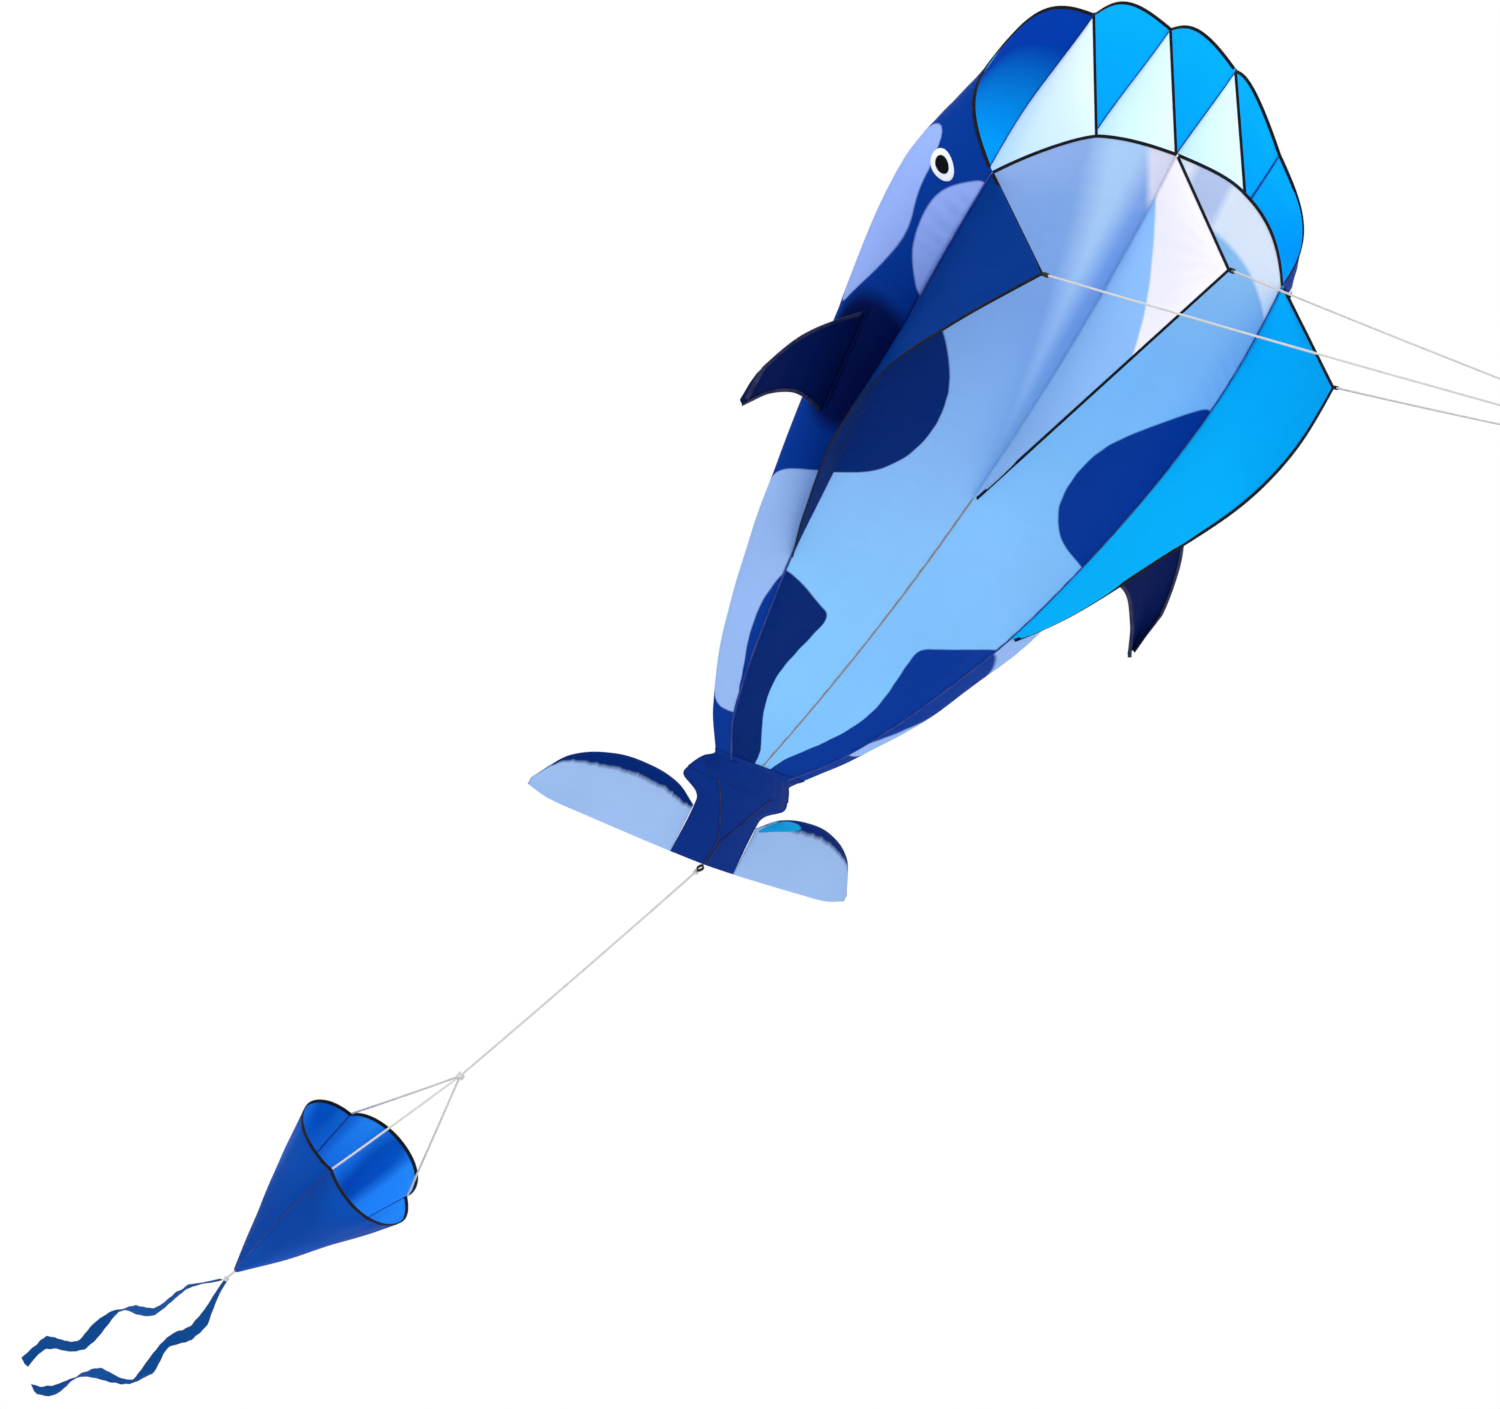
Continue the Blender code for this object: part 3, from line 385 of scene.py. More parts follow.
# Belly colour along the body, one ramp per side: painted light from sun through the cloth, paler by the lip and
# in different tones on the two sides.
bellyLightRamps = {
    "Right": (
        (0.0, paint(168, 196, 240)), (1.0, tones["sky"]), (
            0.10, paint(152, 190, 238),
        ), (0.26, paint(144, 184, 234)),
        (0.48, paint(150, 196, 240)), (0.72, paint(150, 212, 250)),
    ),
    "Left": (
        (0.0, paint(250, 251, 252)), (1.0, tones["sky"]), (
            0.068, paint(248, 250, 252),
        ), (0.073, paint(158, 208, 242)),
        (0.30, paint(138, 204, 248)), (0.60, paint(146, 206, 248)),
    ),
}
finishes = {
    "flankOutside": finishCloth("flankOutside", tones["deepBlue"], (
        ("eyePatch", tones["periwinkle"], 0.002), ("cheek", tones["periwinkle"], 0.002),
        # The navy mark around the fin's root is painted shade.
        ("rearFlank", tones["lavender"], 0.002), ("shadeAtFinRoot", tones["navy"], 0.008),
    )),
    # The insides of the flank and top panels are the same blue cloth painted bright blue with painted glow,
    # painted light for sun shining through it.
    "flankInside": finishCloth("flankInside", tones["sunThroughCyan"], paintedGlow=0.45),
    "topOutside": finishCloth("topOutside", tones["deepBlue"]),
    # The near outer cell's inside is painted dark blue near the mouth: painted shade where less sun comes
    # through.
    "topInside": finishCloth("topInside", tones["sunThroughCyan"], (("shadedNearCell", paint(0, 62, 168), 0.07),), paintedGlow=0.45),
    # The belly cover in one copy per side, each with its own painted light.
    "bellyCoverPaintedLightRight": finishCloth("bellyCoverPaintedLightRight", tones["sky"], (
        # Painted light on the belly by the lip: a pale glow and a pinkish glow.
        ("paleLipLight", paint(196, 226, 250), 0.06), ("pinkLipLight", paint(250, 243, 249), 0.025),
        # The dark patch in its painted shade tone.
        ("darkPatch", tones["nearSideShadedBlue"], 0.002),
    ), ramp=bellyLightRamps["Right"]),
    "bellyCoverPaintedLightLeft": finishCloth("bellyCoverPaintedLightLeft", tones["sky"], (
        # A lavender painted shade by the lip.
        ("lipShade", paint(206, 216, 240), 0.03),
        # The dark patch in its painted light tone.
        ("darkPatch", tones["farSideLitBlue"], 0.002),
    ), ramp=bellyLightRamps["Left"]),
    # The belly's inside and the ribs glow by emission: painted glow for sunlight through the cloth.
    "bellyInside": finishCloth("bellyInside", paint(190, 220, 250), paintedGlow=0.2),
    "ribCloth": finishCloth("ribCloth", tones["paleRib"], glow=0.4, paintedGlow=0.5),
    "keelOutside": finishCloth("keelOutside", paint(2, 58, 146)),
    # The right keel's inside is painted dark as painted shade; the left keel's inside is painted bright blue
    # with painted glow, painted light for sun through the cloth.
    "keelInnerPaintedLightRight": finishCloth("keelInnerPaintedLightRight", paint(1, 40, 112)),
    "keelInnerPaintedLightLeft": finishCloth("keelInnerPaintedLightLeft", tones["sunThroughCyan"], paintedGlow=0.30),
    # The middle keel: pale blue along the body with a white front triangle, and painted glow by emission.
    "keelMiddle": finishCloth(
        "keelMiddle", tones["white"], (("keelWhite", paint(246, 240, 246), 0.006),), paintedGlow=0.27,
        ramp=((0.0, paint(164, 208, 248)), (1.0, paint(158, 196, 232)), (0.40, paint(160, 202, 238))),
    ),
    "finCloth": finishCloth("finCloth", tones["navy"], glow=0.08),
    "tailCloth": finishCloth("tailCloth", tones["tailBlue"], glow=0.2),
    "flukeCloth": finishCloth("flukeCloth", tones["flukePale"], (
        ("vent", tones["nearSideShadedBlue"], 0.002), ("mesh", paint(20, 170, 226), 0.002),
    ), glow=0.35),
    # Drogue outside with painted highlights from a noise mask; the inside in a lighter blue with brighter
    # painted highlights and painted glow.
    "drogueOutside": finishCloth("drogueOutside", tones["drogueBlue"], (("glint", paint(6, 96, 200), 0.5),)),
    "drogueInside": finishCloth(
        "drogueInside", tones["drogueInside"], (("glint", paint(40, 150, 244), 0.25),), paintedGlow=0.30,
    ),
    "ribbonCloth": finishCloth("ribbonCloth", paint(8, 80, 156), glow=0.25),
    "eyeWhite": finishCloth("eyeWhite", paint(238, 240, 250), glow=0.1),
    "eyeBlack": finishCloth("eyeBlack", tones["black"], glow=0.0),
    "tape": finishPlain("tape", tones["black"], 0.85, spread=0.02),
    "blueTape": finishPlain("blueTape", paint(0, 46, 138), 0.7),
    "navyTape": finishPlain("navyTape", paint(1, 18, 70), 0.7),
    "brownTape": finishPlain("brownTape", tones["brown"], 0.75),
    "thread": finishPlain("thread", paint(60, 62, 70), 0.7),
    "cordWhite": finishPlain("cordWhite", paint(206, 206, 204), 0.75, ribs=420.0, strength=0.7, spread=0.25),
    "webbing": finishPlain("webbing", paint(16, 17, 22), 0.8, ribs=700.0, strength=0.8),
    "steel": finishPlain(
        "steel", paint(196, 198, 202), 0.22, metallic=1.0, ribs=60.0, strength=0.03, spread=0.05,
    ),
}
print("stage: finishes")


# Making pieces

def addPiece(name, data, materials, rider, slot, nodes=()):
    piece = bpy.data.objects.new(name, data)
    scene.collection.objects.link(piece)
    for material in materials:
        data.materials.append(finishes[material])
    if rider:
        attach(piece, rider)
    if nodes:
        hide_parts(*nodes)
    return piece


def layGrid(
    name, surface, across, along, place=flying, marks=None, relief=None, outward=None, closed=False, holes=(),
):
    bm = bmesh.new()
    bmesh.ops.create_grid(bm, x_segments=across, y_segments=along, size=0.5)
    layers = {key: bm.verts.layers.float.new(key) for key in (marks or {})}
    layers = {key: bm.verts.layers.float[key] for key in layers}
    uv = bm.loops.layers.uv.new("UVMap")
    grid = {vert: (clamp(vert.co.x + 0.5), clamp(vert.co.y + 0.5)) for vert in bm.verts}
    bm.verts.ensure_lookup_table()
    for vert, (a, b) in grid.items():
        vert.co = surface(a, b)
        for key, rule in (marks or {}).items():
            vert[layers[key]] = rule(a, b)
    rows = [[bm.verts[j * (across + 1) + i].co.copy() for i in range(across + 1)] for j in range(along + 1)]
    width = max(sum((row[i + 1] - row[i]).length for i in range(across)) for row in rows)
    length = max(
        sum((rows[j + 1][i] - rows[j][i]).length for j in range(along)) for i in range(0, across + 1, 4)
    )
    area = sum(face.calc_area() for face in bm.faces)
    for face in bm.faces:
        for loop in face.loops:
            a, b = grid[loop.vert]
            loop[uv].uv = (a * width, b * length)
    for middle, reach in holes:
        cutHole(bm, grid, surface, middle, reach)
    if relief:
        bm.normal_update()
        facing = 1.0
        if outward:
            facing = math.copysign(1.0, sum(f.normal.dot(outward(f.calc_center_median())) for f in bm.faces))
        moves = {vert: vert.normal * facing * relief(a, b, vert.co) for vert, (a, b) in grid.items()}
        for vert, move in moves.items():
            vert.co += move
    if closed:
        bmesh.ops.remove_doubles(bm, verts=bm.verts[:], dist=0.00002)
        bmesh.ops.dissolve_degenerate(bm, dist=0.00001, edges=bm.edges[:])
        bmesh.ops.recalc_face_normals(bm, faces=bm.faces[:])
    if outward:
        bm.normal_update()
        if sum(f.normal.dot(outward(f.calc_center_median())) * f.calc_area() for f in bm.faces) < 0.0:
            bmesh.ops.reverse_faces(bm, faces=bm.faces[:])
    bmesh.ops.transform(bm, matrix=place, verts=bm.verts[:])
    mesh = bpy.data.meshes.new(name)
    bm.to_mesh(mesh)
    bm.free()
    mesh.shade_smooth()
    return mesh, (width, length, min(area, width * length))


def cutHole(bm, grid, surface, middle, reach):
    def place(vert):
        a, b = grid[vert]
        return Vector(((a - middle[0]) / reach[0], (b - middle[1]) / reach[1]))

    inside = [
        f for f in bm.faces if (sum((place(v) for v in f.verts), Vector((0, 0))) / len(f.verts)).length < 1.0
    ]
    rim = {vert for face in inside for vert in face.verts}
    bmesh.ops.delete(bm, geom=inside, context="FACES")
    for vert in [vert for vert in grid if not vert.is_valid]:
        del grid[vert]
    for vert in rim:
        if vert.is_valid:
            spot = place(vert).normalized()
            grid[vert] = (middle[0] + spot.x * reach[0], middle[1] + spot.y * reach[1])
            vert.co = surface(*grid[vert])


clothThickness = 0.0008


def thicken(piece, thickness=clothThickness, inner=0, offset=-1.0):
    solidify = piece.modifiers.new("thickness", "SOLIDIFY")
    solidify.thickness = thickness
    solidify.offset = offset
    solidify.material_offset = inner
    return piece


def declareSheet(piece, sizes):
    width, length, area = sizes
    max(area, 0.301 * width * length)
    print(f"  sheet {piece.name}: {width:.3f} x {length:.3f} m, {area:.4f} m2")


def bend(points, radius, name, material, rider, slot, nodes=(), cyclic=False, sides=3):
    curve = bpy.data.curves.new(name, "CURVE")
    curve.dimensions = "3D"
    curve.bevel_depth = radius
    curve.bevel_resolution = sides
    curve.use_fill_caps = not cyclic
    spline = curve.splines.new("POLY")
    spline.points.add(len(points) - 1)
    for knot, point in zip(spline.points, points):
        knot.co = (*point, 1.0)
    spline.use_cyclic_u = cyclic
    return addPiece(name, curve, (material,), rider, slot, nodes)


# Bridle, tail line and drogue lines

line = {
    "radius": 0.0025, "knot": 0.007, "sag": 0.003, "knotStart": 0.004, "tabEnd": 0.012, "loopReach": 0.029,
    "drogueEnd": 0.0105, "drogueStart": 0.007, "rimEnd": 0.002, "apexStart": 0.006, "apexEnd": 0.003,
}
tailEnd = Vector((0.0, 3.337988, 0.132485))
lineAlong = Vector((0.0, 0.951057, -0.309017))
lineFrame = Matrix.Translation(tailEnd) @ Matrix.Rotation(-math.radians(18.0), 4, "X")
drogue = {
    "mouth": 1.19, "radius": 0.18, "length": 0.45, "tip": 0.006, "lobes": 3, "lobeDepth": 0.13,
    "knotAt": 0.85, "apex": 1.675, "knotRadius": 0.011,
}


def rimPoint(angle, f=0.0):
    lobe = abs(math.sin(0.5 * drogue["lobes"] * (angle - 0.5 * math.pi)))
    scallop = 1.0 - 2.0 * drogue["lobeDepth"] * (1.0 - lobe)
    radius = mix(drogue["radius"], drogue["tip"], f ** 1.1) * mix(scallop, 1.0, f)
    return Vector(
        (radius * math.cos(angle), drogue["mouth"] + f * drogue["length"], radius * math.sin(angle))
    )


def runLine(name, start, end, rider, knots=24):
    sag = line["sag"] * (end - start).length
    points = []
    for k in range(knots):
        f = k / (knots - 1)
        points.append(start.lerp(end, f) - up * (4.0 * sag * f * (1.0 - f)))
    piece = bend(points, line["radius"], name, "cordWhite", rider, "white_cord", (name,))
    return piece


def tieKnot(name, centre, along, radius, rider, nodes=()):
    along = along.normalized()
    side = along.cross(up if abs(along.z) < 0.9 else left).normalized()
    lift = along.cross(side)
    wire = radius * 0.32
    size = (radius - wire) / 3.0
    points = []
    steps = 60
    for k in range(steps):
        t = 2.0 * math.pi * k / steps
        x = math.sin(t) + 2.0 * math.sin(2.0 * t)
        y = math.cos(t) - 2.0 * math.cos(2.0 * t)
        z = -1.4 * math.sin(3.0 * t)
        points.append(centre + size * (x * side + y * lift + z * along))
    return bend(points, wire, name, "cordWhite", rider, "white_cord", nodes, cyclic=True)


keelTips = {
    "right": Vector((-0.447372, 1.754189, 0.923117)), "middle": Vector((0.0, 1.621871, 1.028338)),
    "left": Vector((0.447372, 1.754189, 0.923117)),
}
ring = {"radius": 0.016, "wire": 0.003, "fan": math.radians(35.0)}
toKite = Vector((0.0, keelTips["middle"].y, keelTips["middle"].z)).normalized()
ringReach = ring["radius"] + ring["wire"] + line["knot"] + 0.0004
for name, tip in keelTips.items():
    fan = ring["fan"] * sides.get(name, 0.0)
    knot = ringReach * (toKite * math.cos(fan) + left * math.sin(fan))
    run = (tip - knot).normalized()
    start = knot + run * line["knotStart"]
    runLine(f"bridle_line_{name}", start, tip - run * line["tabEnd"], "canopy")
    tieKnot(f"bridleKnot_{name}", knot, run, line["knot"], "canopy", (f"bridle_knot_{name}",))
lineKnot = lineFrame @ Vector((0.0, line["loopReach"], 0.0))
drogueKnot = lineFrame @ Vector((0.0, drogue["knotAt"], 0.0))
apexKnot = lineFrame @ Vector((0.0, drogue["apex"], 0.0))
start = lineKnot + lineAlong * line["knotStart"]
runLine("tail_line", start, drogueKnot - lineAlong * line["drogueEnd"], "tail_line")
tieKnot("tailLineKnot", lineKnot, lineAlong, line["knot"], "tail_line", ("tail_line_knot",))
tieKnot("drogueKnot", drogueKnot, lineAlong, drogue["knotRadius"], "drogue_knot", ("drogue_knot",))
tieKnot("apexKnot", apexKnot, lineAlong, line["knot"], "drogue", ("apex_knot",))
for k in range(3):
    tab = lineFrame @ rimPoint(0.5 * math.pi + k * 2.0 * math.pi / 3.0)
    run = (tab - drogueKnot).normalized()
    start = drogueKnot + run * line["drogueStart"]
    runLine(f"drogue_line_{k + 1}", start, tab - run * line["rimEnd"], "drogue")
coneEnd = lineFrame @ Vector((0.0, drogue["mouth"] + drogue["length"] - line["apexStart"], 0.0))
runLine("apex_cord", coneEnd, apexKnot - lineAlong * line["apexEnd"], "drogue", knots=6)
print("stage: lines and knots")

# Colour patches, outlined in shares up (or across) a panel and along the body

outlines = {
    "eyePatch": (
        (0.50, 0.044), (0.70, 0.080), (0.69, 0.117), (0.63, 0.171), (0.61, 0.24), (0.58, 0.29),
        (0.51, 0.327), (0.40, 0.298), (0.27, 0.242), (0.20, 0.171), (0.28, 0.115), (0.34, 0.070),
    ),
    "cheek": (
        (-0.3, 0.005), (0.0, 0.017), (0.11, 0.054), (0.18, 0.088), (0.19, 0.125), (0.16, 0.175),
        (0.11, 0.204), (0.0, 0.245), (-0.3, 0.26),
    ),
    "rearFlank": (
        (-0.3, 0.545), (0.05, 0.550), (0.15, 0.560), (0.38, 0.578), (0.62, 0.61), (0.74, 0.67),
        (0.76, 0.75), (0.70, 0.84), (0.60, 0.90), (0.35, 0.935), (-0.3, 0.93),
    ),
    "rearNotch": (
        (-0.3, 0.70), (0.0, 0.710), (0.05, 0.738), (0.10, 0.771), (0.105, 0.81), (0.09, 0.835),
        (0.05, 0.865), (0.01, 0.917), (-0.3, 0.93),
    ),
    "bellyFront": (
        (1.4, 0.215), (1.0, 0.237), (0.92, 0.262), (0.74, 0.325), (0.60, 0.375), (0.53, 0.41),
        (0.50, 0.452), (0.53, 0.490), (0.60, 0.515), (0.74, 0.540), (1.0, 0.548), (1.4, 0.55),
    ),
    "bellyRear": (
        (1.4, 0.690), (1.0, 0.709), (0.84, 0.722), (0.62, 0.744), (0.44, 0.757), (0.49, 0.790), (0.57, 0.830),
        (0.64, 0.871), (0.60, 0.912), (0.42, 0.952), (0.22, 0.982), (0.20, 1.1), (1.4, 1.1),
    ),
}
panelReach = {"flank": 0.30, "belly": 0.38}
notchReach = {"right": 1.0, "left": 0.22}
eye = {"v": 0.28, "s": 0.067, "white": (0.105, 0.0155), "pupil": (0.060, 0.0090), "lift": 0.0022}
finStart = {"right": 0.52, "left": 0.66}
fin = {
    "chord": 0.26, "span": 0.265, "sweep": 0.27, "fold": 0.009, "height": 0.22, "camber": 0.012,
    "footGap": 0.0016, "hemStart": 0.03,
    "rise": {"right": -0.065, "left": 0.03}, "trail": {"right": -0.02, "left": 0.11},
}


def soften(outline, rounds=2):
    points = list(outline)
    for _ in range(rounds):
        cut = []
        for k, (x, y) in enumerate(points):
            nextX, nextY = points[(k + 1) % len(points)]
            cut.append((mix(x, nextX, 0.25), mix(y, nextY, 0.25)))
            cut.append((mix(x, nextX, 0.75), mix(y, nextY, 0.75)))
        points = cut
    return points


def patchField(key, reach):
    corners = [(x * reach, y * body["length"]) for x, y in soften(outlines[key])]
    edges = list(zip(corners, corners[1:] + corners[:1]))

    def field(across, s):
        x, y = across * reach, s * body["length"]
        nearest = 1.0
        inside = False
        for (x0, y0), (x1, y1) in edges:
            dx, dy = x1 - x0, y1 - y0
            f = clamp(((x - x0) * dx + (y - y0) * dy) / (dx * dx + dy * dy))
            nearest = min(nearest, math.hypot(x - x0 - f * dx, y - y0 - f * dy))
            if (y0 > y) != (y1 > y) and x < x0 + (y - y0) * dx / dy:
                inside = not inside
        return nearest if inside else -nearest

    return field


fields = {
    key: patchField(key, panelReach["belly" if key.startswith("belly") else "flank"]) for key in outlines
}


# Cloth relief: puckers along seams, a slow billow between them

folds = {
    "reach": 0.010, "fade": 0.035, "height": 0.0026, "pitch": 0.045, "end": 0.03,
    "billow": 0.006, "billowFade": 0.07, "fine": 0.0016, "fineFade": 0.03,
}


def puckers(gap, run, seed):
    near = min(1.0, gap / folds["reach"]) * math.exp(-gap / folds["fade"])
    wander = noise.noise(Vector((run * 7.0, seed, 0.0)))
    strength = 0.5 + noise.noise(Vector((run * 3.0, seed, 5.0)))
    wave = math.sin(2.0 * math.pi * run / folds["pitch"] + 3.0 * wander)
    return folds["height"] * near * strength * wave


def skinRelief(width, seed, front=0.03, held=(0.0, 1.0)):
    def relief(a, b, co):
        gap = min(abs(a - at) for at in held) * width
        run = b * body["length"]
        hold = min(1.0, run / front) * min(1.0, (1.0 - b) / folds["end"])
        slow = noise.noise(co * 4.5 + Vector((seed, 0.0, 0.0)))
        quick = noise.noise(Vector((co.x * 14.0, co.y * 5.0, seed + co.z * 14.0)))
        billow = folds["billow"] * slow * min(1.0, gap / folds["billowFade"])
        fine = folds["fine"] * quick * min(1.0, gap / folds["fineFade"])
        return hold * (puckers(gap, run, seed) + billow + fine)

    return relief


# Skins

skin = {"along": 210, "top": 26, "belly": 56, "flank": 40, "rib": 26}
rib = body["ribPlace"]
cells = {
    "right_outer": (-1.0, -rib), "right_inner": (-rib, 0.0),
    "left_inner": (0.0, rib), "left_outer": (rib, 1.0),
}
for k, (cell, (low, high)) in enumerate(cells.items()):
    mesh, sizes = layGrid(
        f"topCell_{cell}", lambda a, b: topPoint(mix(low, high, a), b), skin["top"], skin["along"],
        # Mask for the painted shade inside the near outer cell, near the mouth.
        marks={"shadedNearCell": lambda a, b: (0.12 if cell == "right_outer" else -1.0) - 1.2 * b},
        relief=skinRelief(0.21, 10.0 + k), outward=lambda c: up,
    )
    piece = addPiece(
        f"topCell_{cell}", mesh, ("topOutside", "topInside"), "canopy", "top_fabric", (f"top_panel_{cell}",),
    )
    thicken(piece, inner=1)
    declareSheet(piece, sizes)

for name, side in sides.items():
    marks = {
        "aft": lambda a, b: b,
        "darkPatch": lambda a, b: max(fields["bellyFront"](a, b), fields["bellyRear"](a, b)),
        # Masks for painted light by the lip, and for a lavender painted shade there.
        "paleLipLight": lambda a, b: 0.13 - 0.8 * abs(a - 0.33 + 0.6 * b) - 0.4 * b,
        "pinkLipLight": lambda a, b: 0.20 - 0.9 * a - 2.4 * b,
        "lipShade": lambda a, b: min(0.13 - abs(a - 0.27), 2.0 * (0.068 - b)),
    }
    mesh, sizes = layGrid(
        f"bellySkin_{name}", lambda a, b: bellyPoint(side * a, b), skin["belly"], skin["along"], marks=marks,
        relief=skinRelief(0.42, 20.0 + side, held=(0.0, body["ribPlace"], 1.0)), outward=lambda c: -up,
    )
    piece = addPiece(
        f"bellySkin_{name}", mesh, (f"bellyCoverPaintedLight{name.capitalize()}", "bellyInside"), "canopy",
        "belly_fabric", (f"belly_panel_{name}",),
    )
    thicken(piece, inner=1)
    declareSheet(piece, sizes)

    rootMiddle = (finStart[name] + 0.5 * fin["chord"]) / body["length"]

    # An ellipse of painted shade on the flank around the fin's root.
    def finShade(a, b):
        reach = math.hypot((a - 0.17) / 0.32, (b - rootMiddle) / 0.105)
        return 0.06 * (1.0 - reach)

    smooth = skinRelief(0.30, 30.0 + side)

    def flankRelief(a, b, co):
        reach = math.hypot((a - eye["v"]) / 0.16, (b - eye["s"]) / 0.024)
        return smooth(a, b, co) * clamp(2.0 * (reach - 1.0))

    marks = {
        "eyePatch": lambda a, b: fields["eyePatch"](a, b), "cheek": lambda a, b: fields["cheek"](a, b),
        "rearFlank": lambda a, b: min(
            fields["rearFlank"](a, b), -fields["rearNotch"](a * notchReach[name], b),
        ), "shadeAtFinRoot": finShade,
    }
    mesh, sizes = layGrid(
        f"flankSkin_{name}", lambda a, b: flankPoint(side, a, b), skin["flank"], skin["along"], marks=marks,
        relief=flankRelief, outward=lambda c: side * left,
    )
    piece = addPiece(
        f"flankSkin_{name}", mesh, ("flankOutside", "flankInside"), "canopy", "flank_fabric",
        (f"flank_panel_{name}",),
    )
    thicken(piece, inner=1)
    declareSheet(piece, sizes)


def ribRelief(a, b, co):
    return 0.006 * math.sin(math.pi * a) * min(1.0, 12.0 * b) * noise.noise(co * 6.0 + up * 3.0)


ribPlaces = {"right": -rib, "middle": 0.0, "left": rib}
for name, u in ribPlaces.items():
    ports = [((0.5, (row + 0.5) / 20.0), (0.17, 0.026)) for row in (5, 9, 13)]
    mesh, sizes = layGrid(
        f"ribCloth_{name}", lambda a, b: ribPoint(u, mix(0.006, 0.994, a), b * body["ribEnd"]),
        skin["rib"], 150, holes=ports, relief=ribRelief,
    )
    piece = addPiece(f"ribCloth_{name}", mesh, ("ribCloth",), "canopy", "rib_fabric", (f"rib_{name}",))
    thicken(piece, offset=0.0)
    declareSheet(piece, sizes)
print("stage: skins and ribs")


# Seams and folded tapes

def seamCord(name, point, radius, material, start=0.004, end=0.998, count=120):
    points = [flying @ point(mix(start, end, k / count)) for k in range(count + 1)]
    return bend(points, radius, name, material, "canopy", "binding_tape", sides=2)


def foldTape(
    name, edge, inward, steps, rider="canopy", nodes=(), width=0.0065, half=0.0011, place=flying,
    closed=False, material="tape",
):
    step = 0.25 / steps

    def surface(a, b):
        point = edge(b)
        run = (edge(b + step) - edge(b - step)).normalized()
        deep = inward(b)
        deep = (deep - run * deep.dot(run)).normalized()
        face = run.cross(deep)
        if a < 0.35:
            return point + deep * width * (1.0 - a / 0.35) + face * half
        if a > 0.65:
            return point + deep * width * (a - 0.65) / 0.35 - face * half
        turn = math.pi * (a - 0.35) / 0.30
        return point + face * half * math.cos(turn) - deep * half * math.sin(turn)

    mesh, _ = layGrid(name, surface, 14, steps, place=place, closed=closed)
    piece = addPiece(name, mesh, (material,), rider, "binding_tape", nodes)
    thicken(piece, 0.0005, offset=0.0)
    return piece


for name, side in sides.items():
    seamCord(f"bellySeam_{name}", lambda s: bellyPoint(side, s), 0.0026, "blueTape")
    seamCord(f"topSeam_{name}", lambda s: topPoint(side, s), 0.0024, "blueTape")
for name, u in ribPlaces.items():
    seamCord(f"topRibSeam_{name}", lambda s: topPoint(u, s), 0.0020, "blueTape")
seamCord("bellyMiddleSeam", lambda s: bellyPoint(0.0, s), 0.0019, "brownTape", start=0.535)


def upperLip(t, s=0.0):
    t = clamp(t) * 3.0
    if t < 1.0:
        return flankPoint(-1.0, mix(0.03, 1.0, t), s)
    if t > 2.0:
        return flankPoint(1.0, mix(1.0, 0.03, t - 2.0), s)
    return topPoint(2.0 * (t - 1.0) - 1.0, s)


foldTape(
    "upperLipTape", upperLip, lambda t: upperLip(t, 0.02) - upperLip(t), 260, nodes=("upper_lip_binding",),
)
foldTape(
    "lowerLipTape", lambda t: bellyPoint(clamp(2.0 * t - 1.0, -1.0), 0.0),
    lambda t: bellyPoint(clamp(2.0 * t - 1.0, -1.0), 0.02) - bellyPoint(clamp(2.0 * t - 1.0, -1.0), 0.0), 160,
    nodes=("lower_lip_binding",),
)
for name, u in ribPlaces.items():
    foldTape(
        f"ribTape_{name}", lambda t: ribPoint(u, t, 0.0),
        lambda t: ribPoint(u, t, 0.02) - ribPoint(u, t, 0.0), 30,
    )
print("stage: seams and tapes")


# Keels

keel = {
    "sideDepth": 0.33, "sideTip": 0.316, "sideEnd": 1.20, "middleDepth": 0.35, "middleTip": 0.15,
    "middleEnd": 0.916, "billow": 0.014, "rootDrop": 0.0024,
}
keelStations = (
    (0.0, 1.0, -0.005), (0.23, 0.70, 0.075), (0.41, 0.45, 0.115),
    (0.63, 0.22, 0.10), (0.86, 0.11, 0.05), (1.0, 0.03, 0.0),
)


def keelEdge(name, f):
    if name == "middle":
        y = mix(keel["middleTip"], keel["middleEnd"], f)
        return Vector((0.0, y, f * bellyHeight(keel["middleEnd"]) - keel["middleDepth"] * mix(1.0, 0.03, f)))
    y = mix(keel["sideTip"], keel["sideEnd"], f)
    flare = halfWidth(y) + smoothThrough(keelStations, f, 2)
    return Vector(
        (sides[name] * flare, y, bellyHeight(y) - keel["sideDepth"] * smoothThrough(keelStations, f))
    )


def keelRoot(name, f):
    if name == "middle":
        y = f * keel["middleEnd"]
        return Vector((0.0, y, bellyHeight(y) - keel["rootDrop"]))
    y = mix(body["lowerSweep"], keel["sideEnd"], f)
    return Vector((sides[name] * halfWidth(y), y, bellyHeight(y) - keel["rootDrop"]))


